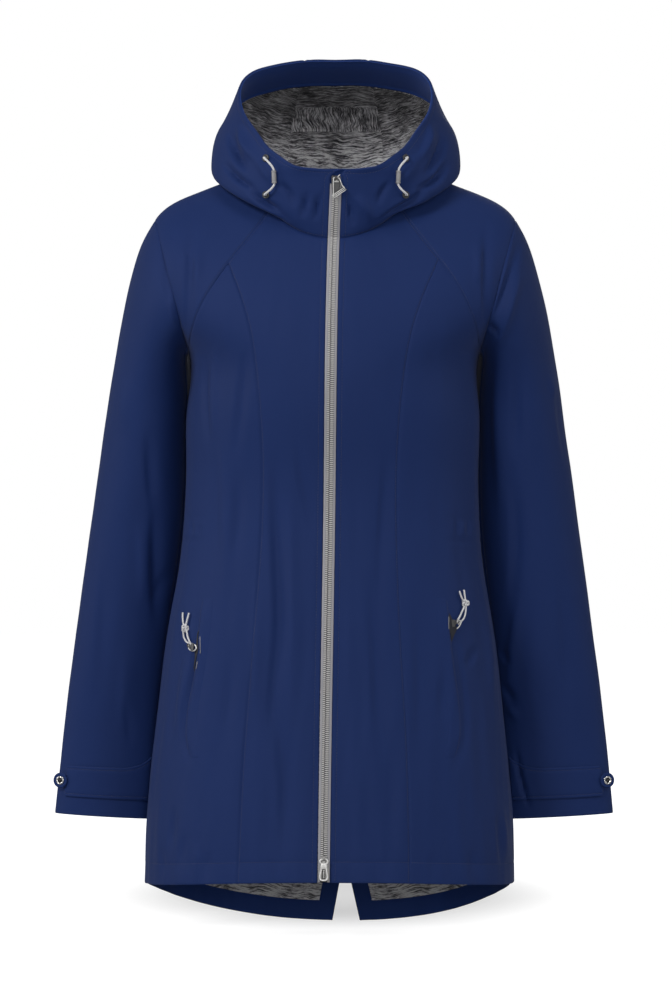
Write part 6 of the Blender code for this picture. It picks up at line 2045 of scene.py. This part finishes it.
def casting(name: str, node: str, finish: Finish, body: str = COAT, bevel: float = 0.00028) -> Thing:
    """A metal piece of the same form as its solid, with its edges rounded.

    Args:
        name: the new piece's name.
        node: the solid whose merged copy it starts from.
        finish: its metal.
        body: the body that it rides on.
        bevel: the rounding of its edges.

    Returns:
        The piece.
    """
    mesh = bmesh.new()
    mesh.from_mesh(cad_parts[node].data)
    bmesh.ops.remove_doubles(mesh, verts=mesh.verts, dist=MERGE)
    bmesh.ops.dissolve_limit(mesh, angle_limit=math.radians(2), verts=mesh.verts, edges=mesh.edges)
    data = bpy.data.meshes.new(name)
    mesh.to_mesh(data)
    mesh.free()
    data.materials.clear()
    data.materials.append(finish.material())
    data.shade_smooth()
    obj = bpy.data.objects.new(name, data)
    bpy.context.scene.collection.objects.link(obj)
    round_edges(obj, bevel, 32).harden_normals = True
    return settle(obj, finish, body, (node,))


@dataclass
class Zip:
    """The front zip: two tapes, interlocked teeth, two sliders and their pulls."""

    PITCH = 0.00209
    TOOTH = {
        Side.LEFT: ((-0.0036, 0.00056, 0.0003), (-0.0032, 0.00065, 0.0005), (-0.0010, 0.00065, 0.0006),
                    (-0.0006, 0.00052, 0.0006), (0.0002, 0.00050, 0.0005), (0.0005, 0.00044, 0.0003)),
        Side.RIGHT: ((-0.0036, 0.00056, 0.0003), (-0.0032, 0.00065, 0.0005), (-0.0012, 0.00065, 0.0006),
                     (-0.0010, 0.00050, 0.0005), (-0.0009, 0.00040, 0.0004), (-0.0008, 0.00030, 0.0002)),
    }
    SLIDER_LIFT = 0.0004
    PIN_OUT = 0.0036
    TOP_PIN_Z = 0.0185
    BOTTOM_PIN_Z = -0.7150

    def centre_line(self) -> tuple[Array, Array, Array]:
        """Evenly spaced points up the zip's middle, with their tangents and normals."""
        low = torso(np.zeros(600), np.linspace(0.002, 0.9995, 600))
        high = hood(np.zeros(120), np.linspace(0.004, TAPE_TOP_RISE - 0.03, 120))
        out = np.concatenate((normals(torso, np.zeros(600), np.linspace(0.002, 0.9995, 600)),
                              normals(hood, np.zeros(120), np.linspace(0.004, TAPE_TOP_RISE - 0.03, 120))))
        line = np.concatenate((low, high))
        far = np.concatenate(([0], np.cumsum(np.linalg.norm(np.diff(line, axis=0), axis=1))))
        places = np.arange(self.PITCH, far[-1], self.PITCH / 2)
        point, normal = (np.stack([np.interp(places, far, c) for c in grid.T], -1) for grid in (line, out))
        normal[..., 0] = 0
        tangent = unit(np.gradient(point, axis=0))
        return point, tangent, unit(normal - tangent * (normal * tangent).sum(-1, keepdims=True))

    def build(self) -> None:
        """Makes every part of the zip."""
        for side in Side:
            self.tape(side)
        self.teeth()
        # The top slider is painted near black, as shade behind its pull.
        casting("slider_top", "zip_slider_top", DIM_METAL_AND_SHADE)
        casting("slider_bottom", "zip_slider_bottom", GREY_METAL)
        self.top_pull(self.pin(hood, self.TOP_PIN_Z))
        self.bottom_pull(self.pin(torso, self.BOTTOM_PIN_Z))

    def pin(self, surface: Points, z: float) -> Matrix:
        """The frame at a pull's pin: X across, Y up along the zip and Z out of it."""
        alongs = np.linspace(0, 1, 400)
        along = np.array(np.interp(z, surface(0 * alongs, alongs)[:, 2], alongs))
        zero = np.array(0.0)
        up = unit(surface(zero, along + 1e-3) - surface(zero, along - 1e-3))
        out = np.cross(up, (1.0, 0.0, 0.0))
        out = out if out[1] < 0 else -out
        return frame_on(surface(zero, along) + out * (self.SLIDER_LIFT + self.PIN_OUT), out, up)

    def rods(self, name: str, matrix: Matrix, rods: tuple, finish: Finish, body: str,
             nodes: tuple = ()) -> None:
        """Several rods as one piece: each has its radius and its places in the pin's frame, in mm."""
        pieces = []
        for radius, *route in rods:
            line = placed(np.array(route, float) * MM, matrix)
            line = through(line, 8 * len(route)) if len(route) > 2 else line
            pieces.append(tube(name, line, radius * MM, finish, 12))
        settle(joined(pieces), finish, body, nodes)

    def top_pull(self, pin: Matrix) -> None:
        """The top pull, a wire frame with a grooved bar that hangs askew, with dark rods behind its frame as
        painted shade, and the slider's bail.
        """
        a, b = np.array((-2.6, -20.6, 0.0)), np.array((10.2, -10.9, 0.0))
        across = np.array((a[1] - b[1], b[0] - a[0], 0.0)) / np.linalg.norm(b - a)
        bars = (0.42, 0.0), (0.44, 1.6), (0.44, -1.6)
        bar = [(radius, tuple(a + across * off), tuple(b + across * off)) for radius, off in bars]
        self.rods("pull_tab_top", pin, (
            (0.52, (-3.0, 0.1, 0), (3.3, -0.1, 0)),
            (0.55, (-3.0, 0.1, 0), (-2.9, -6.0, 0.1), (-2.5, -13.0, 0.1), (-2.1, -19.3, 0)),
            (0.55, (3.3, -0.1, 0), (5.0, -3.6, 0.1), (6.8, -7.6, 0.1), (9.4, -10.4, 0)),
            *bar,
        ), PULL_METAL, "pull_top", ("zip_pull_top",))
        # Painted shade: two dark rods behind the frame, so that its inside looks dark.
        back = np.array((0.0, 0.0, -1.3))
        self.rods("pull_back_top", pin, tuple(
            (1.0, tuple(a * 0.86 + across * off + back), tuple(b * 0.94 + across * off + back))
            for off in (-0.75, 0.75)
        ), DIM_METAL_AND_SHADE, "pull_top")
        self.rods("slider_bail", pin, (
            (0.95, (-0.5, 1.5, 0.1), (2.0, 1.5, 0.1)),
            (0.85, (-1.3, -3.9, -0.6), (2.5, -3.9, -0.6)),
            (0.60, (0.8, 1.3, 0.6), (0.8, -0.4, 1.25), (0.8, -2.2, 1.0), (0.8, -3.8, -0.2)),
            (0.42, (1.8, 2.0, 0.2), (3.9, 3.7, 0.0)),
        ), PULL_METAL, COAT)

    def bottom_pull(self, pin: Matrix) -> None:
        """The bottom pull: a ring, a neck and a frame with a ladder in it, dark rods behind the ladder and the
        ring as painted shade, and the slider's rivet.
        """
        angle = np.linspace(0, 2 * math.pi, 25)
        ring = tuple(zip(4.15 * np.sin(angle), -2.95 + 2.75 * np.cos(angle), 0 * angle))
        sides = ((2.3, -6.2, 0), (2.7, -10, 0), (3.5, -16, 0), (3.95, -20.6, 0), (2.9, -22.7, 0))
        frame_rod = (*((-x, y, z) for x, y, z in sides), (0, -23.2, 0), *sides[::-1])
        neck = tuple((1.15, (x, -6.2, 0), (x * 1.1, -10.6, 0)) for x in (-1.2, 0.0, 1.2))
        rungs = tuple((0.34, (-1.1, y, -0.2), (1.1, y, -0.2)) for y in (-13.0, -15.2, -17.4, -19.6))
        self.rods("pull_tab_bottom", pin, (
            (0.95, *ring), (0.95, *frame_rod), *neck, (0.42, (0, -11.0, -0.3), (0, -20.8, -0.3)), *rungs,
        ), PULL_METAL, "pull_bottom", ("zip_pull_bottom",))
        # Painted shade: dark rods behind the ladder and behind the ring's hole.
        self.rods("slider_well", pin, (
            (1.7, (0, -12.2, -1.9), (0, -20.6, -1.9)), (1.9, (0, -3.0, -2.3), (0, -3.4, -2.3)),
        ), DARK_METAL_AND_SHADE, COAT)
        centre = pin @ Matrix.Translation((0, -0.0032, -0.0022))
        dome = ((0, 0), (0.0017, 0), (0.0017, 0.0012), (0.00145, 0.0019), (0.0008, 0.0023), (0, 0.0024))
        settle(turned("slider_rivet", dome, centre, PULL_METAL, 24), PULL_METAL)

    def tape(self, side: Side) -> None:
        """One half of the tape, from the hem up past the neck seam, under the coat's front edge."""
        s = side.value
        neck = 0.80

        def surface(across: Array, along: Array) -> Array:
            """The torso up to the neck seam and the hood's front above it."""
            across, along = np.broadcast_arrays(np.asarray(across, float), np.asarray(along, float))
            low = np.clip(along / neck, 0, 1) * 0.9985 + 0.001
            high = np.clip((along - neck) / (1 - neck), 0, 1) * (TAPE_TOP_RISE - 0.008)
            body = self.beside(torso, across * s, low)
            top = self.beside(hood, across * s, high)
            blend = (along > neck)[..., None]
            return np.where(blend, top, body)

        def lift(a: Array, b: Array, c: Array, d: Array) -> Array:
            """A thick cord along the tape's inner edge: a bump of 0.5 mm."""
            return -GAP + 0.0005 * np.exp(-((a / 0.0010) ** 2)) * (a > 0.0002)

        Panel(f"tape_{side.word}", (f"zip_tape_{side.word}",), surface, (0.0, 1.0), steady(0.0002),
              steady(TAPE_HALF_WIDTH), TAPE_CLOTH, None, s, (FOLDED,) * 4, thickness=TAPE, lift=lift,
              normal_step=2e-4, rests_on=(f"front_{side.word}",)).build()

    @staticmethod
    def beside(surface: Points, offset: Array, along: Array) -> Array:
        """Points at a sideways offset x from the centre front, where x grows as a power of the turn."""
        step, furthest = 0.03, 0.30
        centre, near, far = (surface(np.full_like(along, step * i), along)[..., 0] for i in range(3))
        wide = np.abs(near - centre)
        power = np.log2(np.abs(far - centre) / wide)
        turn = np.sign(offset) * step * (np.abs(offset) / wide) ** (1 / power)
        return surface(np.clip(turn, -furthest, furthest), along)

    def teeth(self) -> None:
        """Interlocked teeth: legs to both sides in turn, whose heads meet in the middle.

        A tooth is a loft of square rings along X, each (x, half height, half depth).
        """
        point, tangent, out = self.centre_line()
        across = unit(np.cross(tangent, out))
        count = len(self.TOOTH[Side.LEFT])
        corner = np.array(((-1, -1), (1, -1), (1, 1), (-1, 1)), float)
        for side in Side:
            rings = np.array(self.TOOTH[side])
            start = 0 if side is Side.LEFT else 1
            base, up, front, over = (grid[start::2] for grid in (point, tangent, out, across))
            direction = -np.sign(over[:, :1]) * side.value
            x = rings[:, 0][None, :, None, None] * (direction * over)[:, None, None, :]
            high = rings[:, 1][None, :, None, None] * corner[None, None, :, :1] * up[:, None, None, :]
            deep = rings[:, 2][None, :, None, None] * corner[None, None, :, 1:] * front[:, None, None, :]
            points = base[:, None, None] + front[:, None, None] * 0.0003 + x + high + deep
            faces = prisms(len(base), count)
            settle(merged(new_object(f"zip_teeth_{side.word}", points, faces, TEETH)), TEETH)


@dataclass
class Pocket:
    """One pocket: welt, zip strip, slider with its link, and the knotted cord through it."""

    side: Side
    LOOP_RADIUS = 0.0010
    TEETH_RADIUS = 0.00038
    # Places in the front view, in millimetres, each with its distance in front of the body
    KNOT = {Side.RIGHT: (-161.8, -469.4, 5.0), Side.LEFT: (142.9, -442.0, 5.0)}
    TAILS = {
        Side.RIGHT: (((-164.0, -463.0, 5), (-164.6, -453.0, 4.5)),
                     ((-160.2, -463.0, 5), (-157.6, -453.0, 4.5))),
        Side.LEFT: (((139.2, -437.0, 5), (136.4, -429.2, 4.5)),
                    ((142.4, -437.0, 5), (141.2, -428.0, 4.5))),
    }
    LOOP = {
        Side.RIGHT: ((-163.6, -472.0, 4.5), (-163.2, -478.6, 3.6), (-161.0, -483.0, 3.4),
                     (-156.6, -486.0, 4.4), (-153.8, -488.0, 2.6), (-154.6, -488.6, 0.8), (-155.6, -486.2, 1.6),
                     (-156.8, -483.4, 3.6), (-158.6, -479.0, 4.0), (-160.0, -472.0, 4.5)),
        Side.LEFT: ((141.4, -446.0, 4.5), (138.6, -451.8, 3.8), (135.2, -458.4, 3.8), (133.8, -461.0, 4.4),
                    (134.2, -463.4, 2.6), (135.8, -464.2, 0.8), (137.0, -462.6, 1.6),
                    (140.4, -459.2, 3.6), (142.6, -453.0, 4.0), (143.4, -446.0, 4.5)),
    }
    # The link: its middle, half length, half width and slant
    LINK = {Side.RIGHT: (-153.6, -489.8, 4.4, 3.7, -15.0), Side.LEFT: (133.7, -465.5, 5.6, 2.5, 52.0)}
    LINK_WIRE = 0.00075
    # The gap in which the zip shows: its ends, its widest height, and its width to each side there
    GLIMPSE = {
        Side.RIGHT: (-0.518, -0.468, -0.4920, 0.0034, 0.0012),
        Side.LEFT: (-0.486, -0.451, -0.4690, 0.0008, 0.0058),
    }
    ZIP_ENDS = {
        Side.RIGHT: (((-145.1, -478.1, 2.9), (-144.8, -496.0, 2.9)),
                     ((-148.0, -505.2, 2.6), (-149.3, -512.7, 2.4))),
        Side.LEFT: (((124.3, -456.5, 2.9), (124.4, -469.5, 2.9)),
                    ((127.3, -473.8, 2.6), (128.0, -478.1, 2.4))),
    }

    def line(self, more: float, bulge: float = 0.0) -> tuple:
        """The pocket's opening, moved outwards by more, and by bulge at its widest height."""
        heights = np.linspace(-0.620, -0.430, 60)
        near = np.exp(-(((heights - self.GLIMPSE[self.side][2]) / 0.008) ** 2))
        line = spline(POCKET, heights) - self.side.value * POCKET_SHIFT + more + bulge * near
        return tuple(zip(heights, line))

    def strip(self, name: str, node: str, first: float, last: float, finish: Finish, edges: tuple,
              thickness: float, lift: object, ends: tuple[float, float],
              bulges: tuple[float, float] = (0, 0)) -> None:
        """A strip beside the opening, on top of the side front, between two heights."""
        s = self.side.value
        inner, outer = self.line(first, bulges[0]), self.line(last, bulges[1])
        Panel(name, (node,), torso, (level(ends[0]), level(ends[1])),
              lambda r: turn_where(torso, r, s, off_front(s, inner)),
              lambda r: turn_where(torso, r, s, off_front(s, outer)), finish, body_relief, 1.0, edges,
              0.0030, thickness, lift, held="laid", rests_on=(f"side_front_{self.side.word}",)).build()

    def build(self) -> None:
        """Makes the pocket."""
        s, word = self.side.value, self.side.word
        def puffed(a: Array, b: Array, c: Array, d: Array) -> Array:
            """How far the welt stands off the side front: most by the opening, none at its ends."""
            return WELT_LIFT * ease(a / 0.014) * ease(np.minimum(c, d) / 0.030) + 0.00015

        self.strip(f"welt_{word}", f"pocket_welt_{word}", -WELT_WIDTH, 0, NAVY,
                   (PLAIN, TOPSTITCHED, PLAIN, PLAIN), TRIM, puffed, (POCKET_BOTTOM_Z, POCKET_TOP_Z))
        low, high, _, inward, outward = self.GLIMPSE[self.side]
        # The zip strip in the opening is painted near black, as the shadow inside it.
        self.strip(f"pocket_tape_{word}", f"pocket_zip_{word}", -0.0006, 0.0005, POCKET_TAPE_SHADE,
                   (BUTTED,) * 4, POCKET_STRIP,
                   lambda a, b, c, d: 0.0026 * ease(np.minimum(c, d) / 0.008) - 0.0004, (low, high),
                   (-inward, outward))
        glints = [
            tube(f"pocket_teeth_{word}", self.before(np.array(ends)), self.TEETH_RADIUS, GREY_METAL, 8)
            for ends in self.ZIP_ENDS[self.side]
        ]
        settle(joined(glints), GREY_METAL)
        # The pocket slider is painted near black, as shade inside the opening.
        casting(f"pocket_runner_{word}", f"pocket_slider_{word}", DIM_METAL_AND_SHADE, bevel=0.0002)
        x, z, length, width, slant = self.LINK[self.side]
        t = np.linspace(0, 2 * math.pi, 49)
        slant = math.radians(slant)
        long, short = length * np.cos(t), width * np.sin(t)
        ring = np.stack((x + long * math.cos(slant) - short * math.sin(slant),
                         z + long * math.sin(slant) + short * math.cos(slant), 2.6 + 0.7 * np.cos(t)), -1)
        link = tube(f"pocket_link_{word}", self.before(ring), self.LINK_WIRE, PULL_METAL, 12)
        settle(link, PULL_METAL)
        line = through(self.before(np.array(self.LOOP[self.side])), 91)
        cord = tube(f"pocket_loop_{word}", line, self.LOOP_RADIUS, CORD, 14)
        settle(cord, CORD, nodes=(f"pocket_cord_{word}",))
        ball = self.knot()
        tuple(line[45])

    def before(self, places: Array) -> Array:
        """Points in front of the body, from places (x, z, distance) in millimetres."""
        out = []
        for x, z, far in np.array(places, float) * MM:
            turn, rise = locate(torso, x, z, self.side.value * 0.9, level(z))
            out.append(torso(turn, rise) - (0.0, far, 0.0))
        return np.array(out)

    def knot(self) -> Thing:
        """An overhand knot of the doubled cord, with its two tails.

        Its line winds twice round a small ring: radius a + b cos 3t/2, depth c sin 3t/2, as t goes to 4 pi.
        """
        word = self.side.word
        t = np.linspace(0.2, 4 * math.pi - 0.2, 120)
        ring = 0.0021 + 0.0011 * np.cos(1.5 * t)
        centre = self.before(np.array([self.KNOT[self.side]]))[0]
        local = np.stack((ring * np.cos(t) * 1.15, 0.0011 * np.sin(1.5 * t), ring * np.sin(t) * 1.15), -1)
        pieces = [tube(f"cord_knot_{word}", centre + local, self.LOOP_RADIUS * 1.05, CORD, 12)]
        for tail in self.TAILS[self.side]:
            start = np.array(self.KNOT[self.side]) * 0.75 + np.array(tail[0]) * 0.25
            line = through(self.before(np.array((start, *tail))), 24)
            pieces.append(tube(f"cord_tail_{word}", line, self.LOOP_RADIUS, CORD, 12))
        return settle(joined(pieces), CORD, nodes=(f"pocket_knot_{word}",))


def joined(pieces: list[Thing]) -> Thing:
    """Several pieces as one object, which keeps the first one's name."""
    with bpy.context.temp_override(active_object=pieces[0], selected_editable_objects=pieces):
        bpy.ops.object.join()
    return pieces[0]


# ---------------------------------------------------------------------------------------------
# Camera, light and floor


@dataclass
class Studio:
    """A pale floor, soft light and the camera."""

    CAMERA = (0.0022, -6.0, -0.3344)
    FRAME_HEIGHT = 1.1088
    FLOOR_Z = -0.815
    SENSOR = 24.0
    AMBIENT = 0.13

    def build(self) -> None:
        """Makes the camera, the world, the lights and the floor."""
        scene = bpy.context.scene
        data = bpy.data.cameras.new("camera")
        data.sensor_fit = "VERTICAL"
        data.sensor_height = self.SENSOR
        data.lens = self.SENSOR * -self.CAMERA[1] / self.FRAME_HEIGHT
        data.clip_end = 100
        camera = bpy.data.objects.new("camera", data)
        camera.location = self.CAMERA
        camera.rotation_euler = (math.pi / 2, 0, 0)
        scene.collection.objects.link(camera)
        scene.camera = camera
        scene.view_settings.view_transform = "Standard"
        scene.view_settings.look = "None"
        world = bpy.data.worlds.new("studio")
        world.use_nodes = True
        background = world.node_tree.nodes["Background"]
        background.inputs["Color"].default_value = (1.0, 1.0, 1.0, 1.0)
        seen = world.node_tree.nodes.new("ShaderNodeLightPath").outputs["Is Camera Ray"]
        strength = world.node_tree.nodes.new("ShaderNodeMapRange")
        strength.inputs["To Min"].default_value = self.AMBIENT
        world.node_tree.links.new(seen, strength.inputs["Value"])
        world.node_tree.links.new(strength.outputs["Result"], background.inputs["Strength"])
        scene.world = world
        self.light("front", (0.2, -5.0, -0.15), 0.9, 42.0)
        self.light("key", (-2.3, -3.1, 2.1), 1.1, 82.0)
        self.light("fill", (2.4, -3.1, 1.9), 1.5, 31.0)
        self.light("rim_right", (3.6, -0.4, 0.5), 1.4, 18.0)
        self.light("rim_left", (-3.6, -0.4, 0.6), 1.4, 37.0)
        self.light("over", (0.2, -0.9, 2.9), 1.2, 15.0)
        self.light("behind", (0.5, 4.4, 1.5), 1.6, 36.0)
        points = np.array(((-9, -4, 0), (9, -4, 0), (9, 14, 0), (-9, 14, 0)), float) + (0, 0, self.FLOOR_Z)
        floor = new_object("floor", points, [(0, 1, 2, 3)], PAPER)

    def light(self, name: str, place: tuple, size: float, power: float) -> None:
        """A square soft light that faces the coat's middle."""
        data = bpy.data.lights.new(name, "AREA")
        data.shape, data.size, data.energy = "SQUARE", size, power
        lamp = bpy.data.objects.new(name, data)
        lamp.location = place
        lamp.rotation_mode = "QUATERNION"
        lamp.rotation_quaternion = (Vector((0, 0, -0.33)) - Vector(place)).to_track_quat("-Z", "Y")
        bpy.context.scene.collection.objects.link(lamp)


def main() -> None:
    """Builds the studio and every piece of the coat, in order."""
    logging.basicConfig(level=logging.INFO, format="%(message)s")
    Studio().build()
    for side in Side:
        HoodCord(side).build()
        Pocket(side).build()
    for side in Side:
        Body(side).build()
        BackInside(side).build()
        Sleeve(side).build()
    Hood().build()
    Zip().build()
    SEWING.build()


if __name__ == "__main__":
    main()
